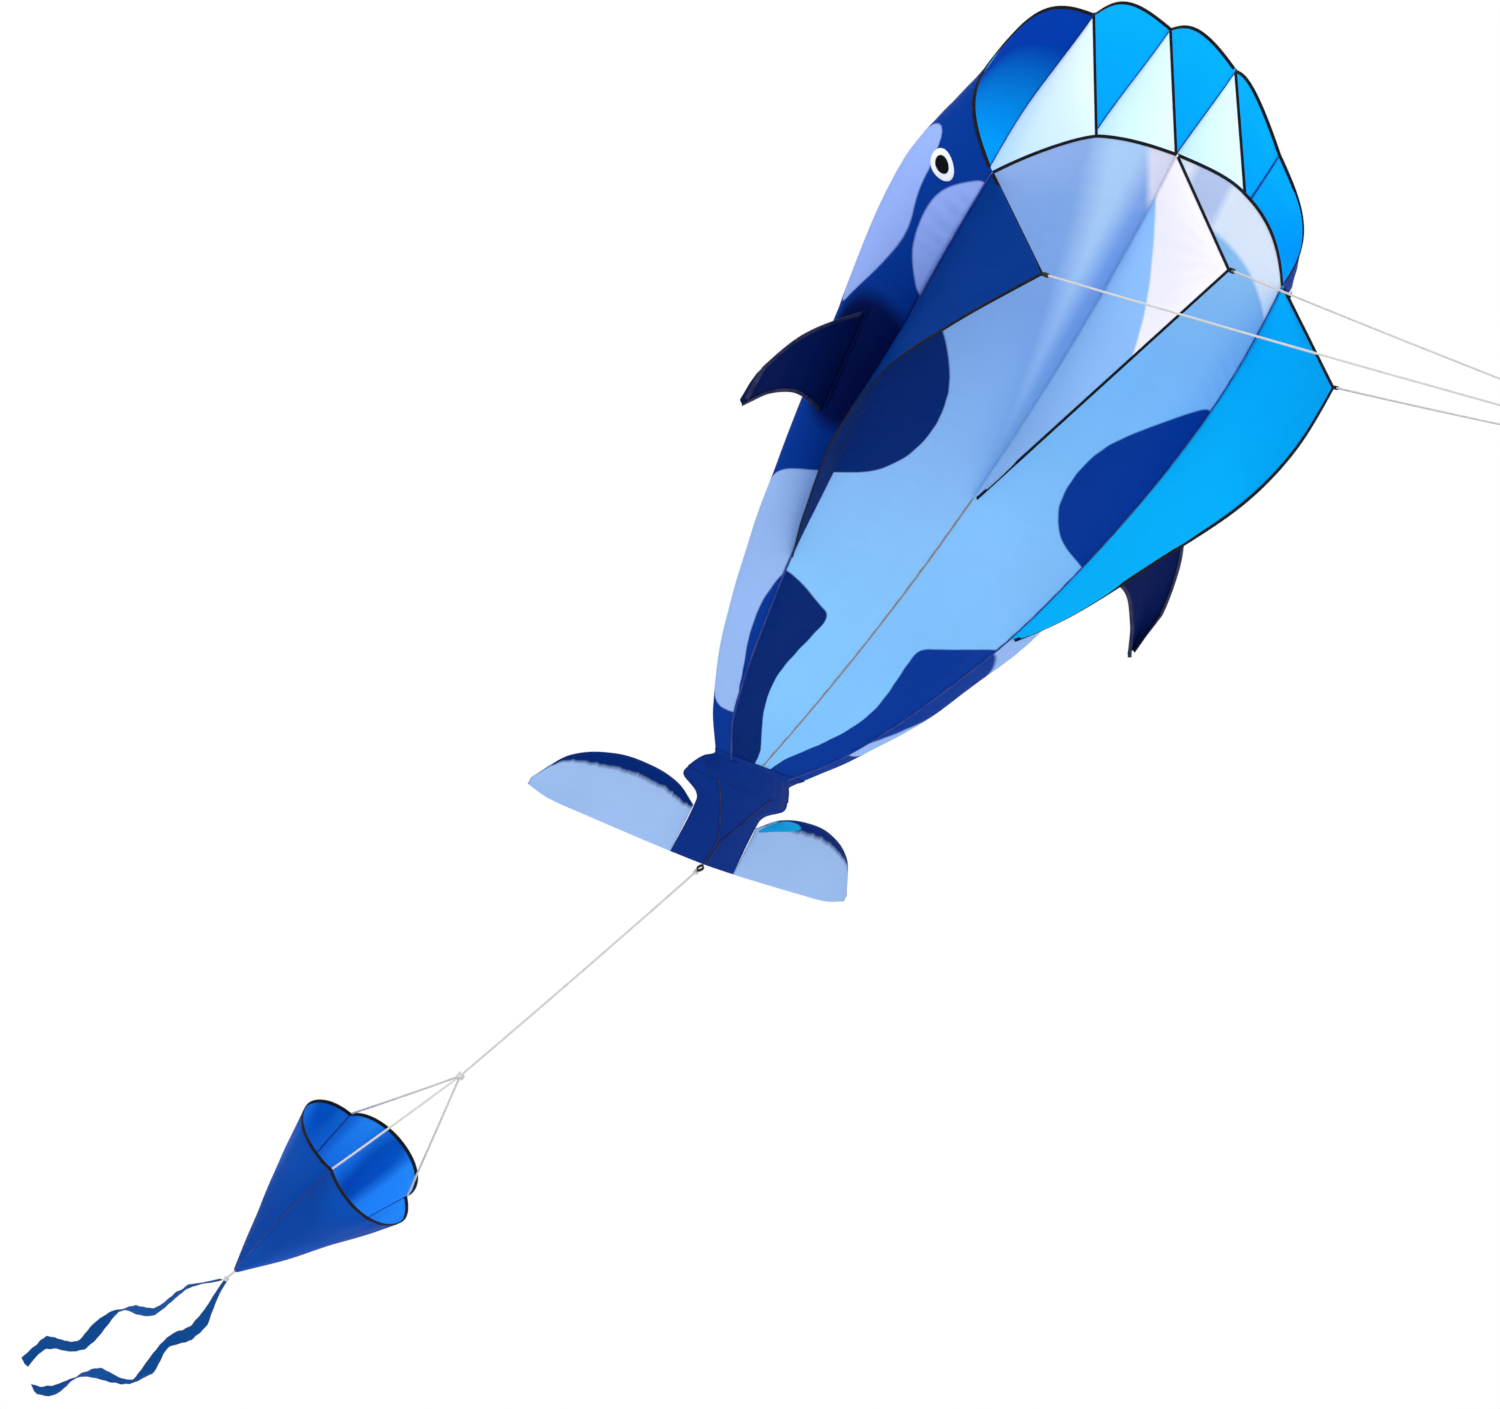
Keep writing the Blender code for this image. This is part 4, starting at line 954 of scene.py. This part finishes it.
for name in ("right", "middle", "left"):
    side = sides.get(name, 0.0)

    def keelSheet(a, b):
        f = b * 0.985
        point = keelRoot(name, f).lerp(keelEdge(name, f), a)
        swell = math.sin(math.pi * a) * math.sin(math.pi * min(1.0, 0.15 + b)) ** 2
        point.x += (side or 0.35) * keel["billow"] * swell
        return point

    def keelRelief(a, b, co):
        hold = min(1.0, (1.0 - a) / 0.1) * min(1.0, a / 0.1) * min(1.0, b / 0.04)
        fan = math.atan2(1.02 - a, 4.0 * b + 0.02)
        pull = 0.0030 * math.sin(
            fan * 26.0 + 3.0 * noise.noise(co * 5.0)
        ) * math.exp(-2.4 * math.hypot(1.0 - a, 3.0 * b))
        return hold * (pull + 0.005 * noise.noise(co * 5.0 + up * 7.0))

    # Side keels take an inside finish per side, painted shade on the right and painted light on the left.
    cloth = ("keelMiddle",) if name == "middle" else ("keelOutside", f"keelInnerPaintedLight{name.capitalize()}")
    mesh, sizes = layGrid(
        f"keelCloth_{name}", keelSheet, 36, 110, relief=keelRelief,
        marks={"aft": lambda a, b: b, "keelWhite": lambda a, b: 0.27 * a + 0.12 - b},
        outward=lambda c: (side or 1.0) * left,
    )
    slot = "keel_white_fabric" if name == "middle" else "keel_blue_fabric"
    piece = addPiece(f"keelCloth_{name}", mesh, cloth, "canopy", slot, (f"keel_{name}",))
    thicken(piece, inner=len(cloth) - 1)
    declareSheet(piece, sizes)
    foldTape(
        f"keelTrailTape_{name}", lambda t: keelEdge(name, clamp(t) * 0.985),
        lambda t: keelRoot(name, clamp(t) * 0.985) - keelEdge(name, clamp(t) * 0.985), 120,
        nodes=(f"keel_binding_{name}",), width=0.006,
    )
    foldTape(
        f"keelFrontTape_{name}", lambda t: keelRoot(name, 0.0).lerp(keelEdge(name, 0.0), mix(0.02, 1.0, t)),
        lambda t: keelRoot(name, 0.1) - keelRoot(name, 0.0), 30, width=0.006,
    )
print("stage: keels")


# Eyes

for name, side in sides.items():
    for part, lift, finish in (("white", 1.0, "eyeWhite"), ("pupil", 1.9, "eyeBlack")):
        def patch(a, b):
            x, y = 2.0 * a - 1.0, 2.0 * b - 1.0
            round_ = (x * math.sqrt(1.0 - 0.5 * y * y), y * math.sqrt(1.0 - 0.5 * x * x))
            v = eye["v"] + eye[part][0] * round_[0]
            s = eye["s"] + eye[part][1] * round_[1]
            point = flankPoint(side, v, s)
            away = (
                flankPoint(side, v + 0.004, s) - point
            ).cross(flankPoint(side, v, s + 0.004) - point).normalized()
            fall = 1.0 - 0.35 * math.hypot(*round_) ** 6
            return point + away * math.copysign(eye["lift"] * lift * fall, away.x * side)

        mesh, _ = layGrid(f"eye_{part}_{name}Patch", patch, 28, 28, outward=lambda c: side * left)
        piece = addPiece(
            f"eye{part.capitalize()}_{name}", mesh, (finish,), "canopy",
            f"eye_{'black' if part == 'pupil' else 'white'}", (f"eye_{part}_{name}",),
        )
        thicken(piece, 0.0009)


# Fins

for name, side in sides.items():
    start = finStart[name] / body["length"]
    end = start + fin["chord"] / body["length"]
    front, back = [flankPoint(side, fin["height"], s) + side * fin["fold"] * left for s in (start, end)]
    along = (back - front).normalized()
    across = Vector((1.0, 0.0, side * fin["rise"][name] / fin["span"]))
    across = (across - along * across.dot(along)).normalized()
    turn = Matrix((across, along, across.cross(along))).transposed().to_4x4()
    finFrame = flying @ Matrix.Translation(front) @ turn
    trail = fin["trail"][name]
    lead = (
        (0.0, 0.0), (0.55, 0.22 * fin["sweep"] + 0.3 * trail), (0.96, 0.62 * fin["sweep"] + 0.8 * trail),
        (1.0, 0.93 * fin["sweep"] + trail),
    )
    rear = (
        (0.0, fin["chord"]), (0.40, 0.82 * fin["sweep"] + 0.35 * trail),
        (0.74, 0.86 * fin["sweep"] + 0.75 * trail), (1.0, fin["sweep"] + trail),
    )

    def finPoint(a, b):
        y = mix(smoothThrough(lead, a), smoothThrough(rear, a), b)
        ripple = 0.004 * noise.noise(Vector((a * 4.0, b * 3.0, side))) * a
        return Vector(
            (
                side * fin["span"] * a, y,
                fin["camber"] * math.sin(math.pi * b) * math.sin(0.5 * math.pi * a) + ripple,
            )
        )

    mesh, sizes = layGrid(f"finCloth_{name}", finPoint, 40, 40, place=finFrame, outward=lambda c: up)
    piece = addPiece(f"finCloth_{name}", mesh, ("finCloth",), f"fin_{name}", "fin_fabric", (f"fin_{name}",))
    thicken(piece, 0.0012, offset=0.0)
    declareSheet(piece, sizes)
    for part, row, aim in (("Lead", 0.0, 1.0), ("Rear", 1.0, -1.0)):
        foldTape(
            f"fin{part}Hem_{name}", lambda t: finPoint(mix(fin["hemStart"], 1.0, clamp(t)), row),
            lambda t: finPoint(clamp(t), 0.5 + 0.1 * aim) - finPoint(clamp(t), 0.5), 50,
            rider=f"fin_{name}", place=finFrame, width=0.008, half=0.0011, material="navyTape",
        )

    def finFoot(a, b):
        s = mix(start - 0.006, end + 0.006, b)
        return flankPoint(side, fin["height"], s) + side * left * mix(-0.003, fin["fold"] - fin["footGap"], a)

    mesh, sizes = layGrid(f"finFoot_{name}", finFoot, 4, 60, outward=lambda c: -up)
    piece = addPiece(f"finFoot_{name}", mesh, ("finCloth",), "canopy", "fin_fabric")
    thicken(piece, 0.0014, offset=0.0)
print("stage: eyes and fins")


# Tail

tail = {
    "length": 0.235, "panel": 0.096, "depth": 0.05, "span": 0.389, "rise": 0.09, "reach": 0.477,
    "thickness": 0.036, "hinge": Vector((0.0, 1.712, bellyHeight(1.70) + 0.5 * depthAt(1.0) - 0.006)),
}
tailWidths = ((0.0, 0.125), (0.12, 0.145), (0.26, 0.155), (0.36, 0.11), (0.44, 0.096), (1.0, 0.096))
flukeLead = ((0.0, 0.50), (0.15, 0.36), (0.35, 0.30), (0.6, 0.33), (0.85, 0.52), (1.0, 0.86))
flukeTrail = ((0.0, 1.0), (0.6, 0.99), (0.85, 0.98), (1.0, 0.93))
tailFrame = flying @ Matrix.Translation(tail["hinge"])


def tailRise(x):
    return tail["rise"] * (abs(x) / tail["reach"]) ** 1.3


def stockPoint(a, b):
    turn = 2.0 * math.pi * a
    c = math.cos(turn)
    x = c * smoothThrough(tailWidths, b)
    half = mix(0.5 * tail["depth"], 0.0006, b ** 1.5) * min(1.0, b / 0.03) ** 0.5 * (1.0 - abs(c) ** 3)
    dimple = 0.0012 * noise.noise(
        Vector((x * 30.0, b * 9.0, 2.0))
    ) * (1.0 - abs(c) ** 3) * min(1.0, 4.0 * b * (1.0 - b))
    return Vector(
        (x, b * tail["length"], tailRise(x) + math.copysign(half, math.sin(turn)) * (1.0 - c ** 12) + dimple)
    )


def flukePoint(side, a, b):
    turn = 2.0 * math.pi * a
    chord = 0.5 - 0.5 * math.cos(turn)
    x = tail["panel"] + b * tail["span"]
    y = tail["length"] * mix(smoothThrough(flukeLead, b), smoothThrough(flukeTrail, b), chord)
    plump = (1.0 - b ** 3) * (1.0 - abs(2.0 * chord ** 0.7 - 1.0) ** 3) * min(1.0, b / 0.16) ** 0.6
    half = 0.5 * tail["thickness"] * plump
    crease = 0.0022 * math.sin(9.0 * math.atan2(y - 0.1, 0.06 + b * 0.4)) * math.exp(-3.0 * b) * plump
    return Vector((side * x, y, tailRise(x) + math.copysign(half, math.sin(turn)) + crease))


def flukeVent(side, a, b):
    chord = 0.5 - 0.5 * math.cos(2.0 * math.pi * a)
    ragged = 0.035 * noise.noise(
        Vector((b * 22.0, 1.0, side))
    ) + 0.02 * noise.noise(Vector((b * 60.0, 4.0, side)))
    under = math.sin(2.0 * math.pi * a) < 0.0
    if side < 0.0:
        band = 0.20 * clamp(0.25 + b / 0.12) * clamp((1.02 - b) / 0.30) + ragged
        return 0.05 * ((band if under else 0.5 * band - 0.04) - chord)
    band = 0.14 * clamp((b - 0.12) / 0.12) * clamp((0.98 - b) / 0.2) + ragged
    return 0.05 * ((band if under else 0.6 * band - 0.03) - chord)


def flukeMesh(side, a, b):
    chord = 0.5 - 0.5 * math.cos(2.0 * math.pi * a)
    if math.sin(2.0 * math.pi * a) > 0.0 or side < 0.0:
        return -0.05
    return 0.05 * (1.0 - math.hypot((b - 0.17) / 0.15, (chord - 0.08) / 0.07))


mesh, _ = layGrid(
    "tailStock", stockPoint, 96, 60, place=tailFrame, closed=True,
    outward=lambda c: Vector((c.x, 0.0, c.z - tailRise(c.x))),
)
piece = addPiece("tailStock", mesh, ("tailCloth",), "tail", "tail_fabric", ("tail_stock",))
for name, side in sides.items():
    mesh, _ = layGrid(
        f"flukePad_{name}", lambda a, b: flukePoint(side, a, b), 96, 80, place=tailFrame, closed=True,
        marks={"vent": lambda a, b: flukeVent(side, a, b), "mesh": lambda a, b: flukeMesh(side, a, b)},
        outward=lambda c: Vector((0.0, 0.0, c.z - tailRise(c.x))),
    )
    piece = addPiece(
        f"flukePad_{name}", mesh, ("flukeCloth",), f"fluke_{name}", "fluke_fabric", (f"fluke_{name}",),
    )


def bodyRing(a, s):
    corner = 0.08
    if a < corner or a > 1.0 - corner:
        return flankPoint(1.0, 0.5 + 0.5 * (a if a < corner else a - 1.0) / corner, s)
    if a < 0.5 - corner:
        return topPoint(1.0 - 2.0 * (a - corner) / (0.5 - 2.0 * corner), s)
    if a < 0.5 + corner:
        return flankPoint(-1.0, 1.0 - (a - 0.5 + corner) / (2.0 * corner), s)
    return bellyPoint(2.0 * (a - 0.5 - corner) / (0.5 - 2.0 * corner) - 1.0, s)


sleeve = {"front": 1.686, "back": 1.752, "bodyEnd": 1.698, "tailStart": 1.728, "spare": 0.0022}


def sleevePoint(a, b):
    y = mix(sleeve["front"], sleeve["back"], b)
    onBody = bodyRing(a, min(y, sleeve["bodyEnd"]) / body["length"])
    onTail = tail["hinge"] + stockPoint(a, clamp((y - tail["hinge"].y) / tail["length"], 0.03))
    f = clamp((y - sleeve["bodyEnd"] + 0.006) / (sleeve["tailStart"] - sleeve["bodyEnd"]))
    f = f * f * (3.0 - 2.0 * f)
    point = onBody.lerp(onTail, f)
    point.y = y
    away = Vector((0.35 * point.x, 0.0, point.z - tail["hinge"].z - f * tailRise(point.x)))
    pleat = 1.0 + 0.35 * math.sin(44.0 * math.pi * a) * math.sin(math.pi * b)
    return point + away.normalized() * sleeve["spare"] * pleat


mesh, _ = layGrid(
    "tailSleeve", sleevePoint, 200, 26, closed=True, outward=lambda c: Vector((c.x, 0.0, 4.0 * (c.z - 0.37))),
)
piece = addPiece("tailSleeve", mesh, ("tailCloth",), None, "tail_fabric")
thicken(piece)
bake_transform(piece, "canopy", "tail", flying @ Vector((0.0, 1.698, 0.37)), flying @ Vector((0.0, 1.740, 0.37)))

for name, side in sides.items():
    points = []
    for k in range(40):
        t = mix(0.16, 0.985, k / 39)
        reach = side * mix(0.098, 0.004, clamp((t - 0.10) / 0.62) ** 0.8) / smoothThrough(tailWidths, t)
        turn = -math.acos(clamp(reach, -1.0)) / (2.0 * math.pi) % 1.0
        points.append(tailFrame @ (stockPoint(turn, t) - up * 0.0006))
    bend(points, 0.0016, f"tailSeam_{name}", "navyTape", "tail", "tail_fabric", sides=2)
print("stage: tail")


# Webbing loops, tow ring, drogue and ribbons

def strapLoop(name, middle, along, axis, radius, width, thickness, rider, nodes=()):
    along = along.normalized()
    axis = (axis - along * axis.dot(along)).normalized()
    side = axis.cross(along)

    def surface(a, b):
        turn = 2.0 * math.pi * a
        reach = radius * (1.0 + 0.15 * math.cos(turn))
        return middle + reach * (
            along * math.cos(turn) + 0.72 * side * math.sin(turn)
        ) + axis * width * (b - 0.5)

    mesh, _ = layGrid(
        name, surface, 40, 4, place=Matrix.Identity(4), closed=True, outward=lambda c: c - middle,
    )
    piece = addPiece(name, mesh, ("webbing",), rider, "webbing", nodes)
    thicken(piece, thickness, offset=0.0)
    return piece


for name, tip in keelTips.items():
    run = (-tip).normalized()
    strapLoop(
        f"keelTab_{name}", tip + run * 0.007, run, left if name == "middle" else up, 0.0075, 0.009, 0.0016,
        "canopy", (f"keel_tab_{name}",),
    )
loopMiddle = lineFrame @ Vector((0.0, 0.0118, 0.0))
strapLoop(
    "tailLoop", loopMiddle, lineAlong, lineFrame.to_3x3() @ up, 0.0092, 0.007, 0.0014, "tail_loop",
    ("tail_loop",),
)

bm = bmesh.new()
bmesh.ops.create_circle(bm, segments=24, radius=ring["wire"])
bmesh.ops.rotate(bm, cent=(0, 0, 0), matrix=Matrix.Rotation(math.radians(90.0), 3, "X"), verts=bm.verts[:])
bmesh.ops.translate(bm, vec=(ring["radius"], 0.0, 0.0), verts=bm.verts[:])
bmesh.ops.spin(
    bm, geom=bm.verts[:] + bm.edges[:], cent=(0, 0, 0), axis=(0, 0, 1), angle=2.0 * math.pi, steps=72,
    use_merge=True,
)
bmesh.ops.remove_doubles(bm, verts=bm.verts[:], dist=0.00001)
bmesh.ops.recalc_face_normals(bm, faces=bm.faces[:])
bmesh.ops.rotate(
    bm, cent=(0, 0, 0), matrix=Matrix.Rotation(math.atan2(toKite.z, toKite.y), 3, "X"), verts=bm.verts[:],
)
mesh = bpy.data.meshes.new("towRing")
bm.to_mesh(mesh)
bm.free()
mesh.shade_smooth()
addPiece("towRing", mesh, ("steel",), "canopy", "steel", ("tow_ring",))


def conePoint(a, b):
    angle = 2.0 * math.pi * a
    point = rimPoint(angle, b)
    flutter = math.sin(3.0 * angle + 5.0 * b) * 0.5 + noise.noise(
        Vector((2.0 * math.cos(angle), 2.0 * math.sin(angle), 3.0 * b))
    )
    swell = 1.0 + 0.055 * flutter * math.sin(
        math.pi * min(1.0, b + 0.08)
    ) + 0.012 * math.sin(24.0 * angle) * math.exp(-9.0 * b) * min(1.0, b / 0.03)
    return Vector((point.x * swell, point.y, point.z * swell))




# Noise mask for the drogue's painted highlights, fewer towards the tip.
def glint(a, b):
    angle = 2.0 * math.pi * a
    return noise.noise(Vector((1.6 * math.cos(angle), 1.6 * math.sin(angle), 1.2 * b + 4.0))) + 0.10 - 0.3 * b


mesh, sizes = layGrid(
    "drogueCone", conePoint, 180, 90, place=lineFrame, closed=True, marks={"glint": glint},
    outward=lambda c: Vector((c.x, 0.0, c.z)),
)
piece = addPiece(
    "drogueCone", mesh, ("drogueOutside", "drogueInside"), "drogue", "drogue_fabric", ("drogue_cone",),
)
thicken(piece, inner=1)
declareSheet(piece, sizes)
foldTape(
    "drogueRimTape", lambda t: conePoint(t, 0.0), lambda t: conePoint(t, 0.04) - conePoint(t, 0.0), 180,
    rider="drogue", nodes=("drogue_rim",), place=lineFrame, closed=True, width=0.007,
)
for k in range(3):
    share = 0.25 + k / 3.0
    points = [lineFrame @ conePoint(share, mix(0.01, 0.985, j / 40)) for j in range(41)]
    bend(points, 0.0017, f"drogueSeam_{k + 1}", "blueTape", "drogue", "drogue_fabric", sides=2)

ribbon = {
    "length": 0.66, "width": 0.034, "gap": 0.002, "flutter": 0.022, "turns": 2.5, "lift": math.radians(15.5),
}
ribbonWays = {"upper": (-1.0, 0.0, 0.01, 1.8, 0.9, 0.0), "lower": (1.0, 2.2, 0.04, -1.8, 1.3, 0.07)}
for name, (side, phase, swing, spread, twists, sag) in ribbonWays.items():
    ribbonFrame = lineFrame @ Matrix.Translation((0.0, drogue["apex"], 0.0))
    ribbonFrame = ribbonFrame @ Matrix.Rotation(ribbon["lift"] + math.radians(spread), 4, "X")

    def ribbonPoint(a, b):
        open_ = min(1.0, 6.0 * b)
        pinch = 0.80 + 0.32 * noise.noise(Vector((b * 9.0, side, 2.0)))
        width = ribbon["width"] * mix(0.3, pinch, open_)
        wave = ribbon["flutter"] * min(1.0, 3.0 * b)
        x = side * (0.4 * width + ribbon["gap"] + swing * math.sin(math.pi * b))
        y = line["knot"] + ribbon["gap"] + b * ribbon["length"]
        z = wave * (math.sin(phase + 2.0 * math.pi * ribbon["turns"] * b) - math.sin(phase) * (1.0 - b))
        turn = open_ * 1.15 * math.sin(2.0 * math.pi * twists * b + phase)
        over = (a - 0.5) * width
        curl = (
            0.004 * (4.0 * (a - 0.5) ** 2) + 0.003 * noise.noise(Vector((a * 3.0, b * 34.0, side)))
        ) * open_
        return Vector(
            (x + over * math.cos(turn), y, z - sag * math.sin(math.pi * b) + over * math.sin(turn) + curl)
        )

    mesh, sizes = layGrid(
        f"ribbonCloth_{name}", ribbonPoint, 10, 220, place=ribbonFrame, outward=lambda c: up,
    )
    piece = addPiece(
        f"ribbonCloth_{name}", mesh, ("ribbonCloth",), f"ribbon_{name}", "ribbon_fabric", (f"ribbon_{name}",),
    )
    thicken(piece, 0.0006, offset=0.0)
    declareSheet(piece, sizes)
print("stage: webbing, ring, drogue and ribbons")
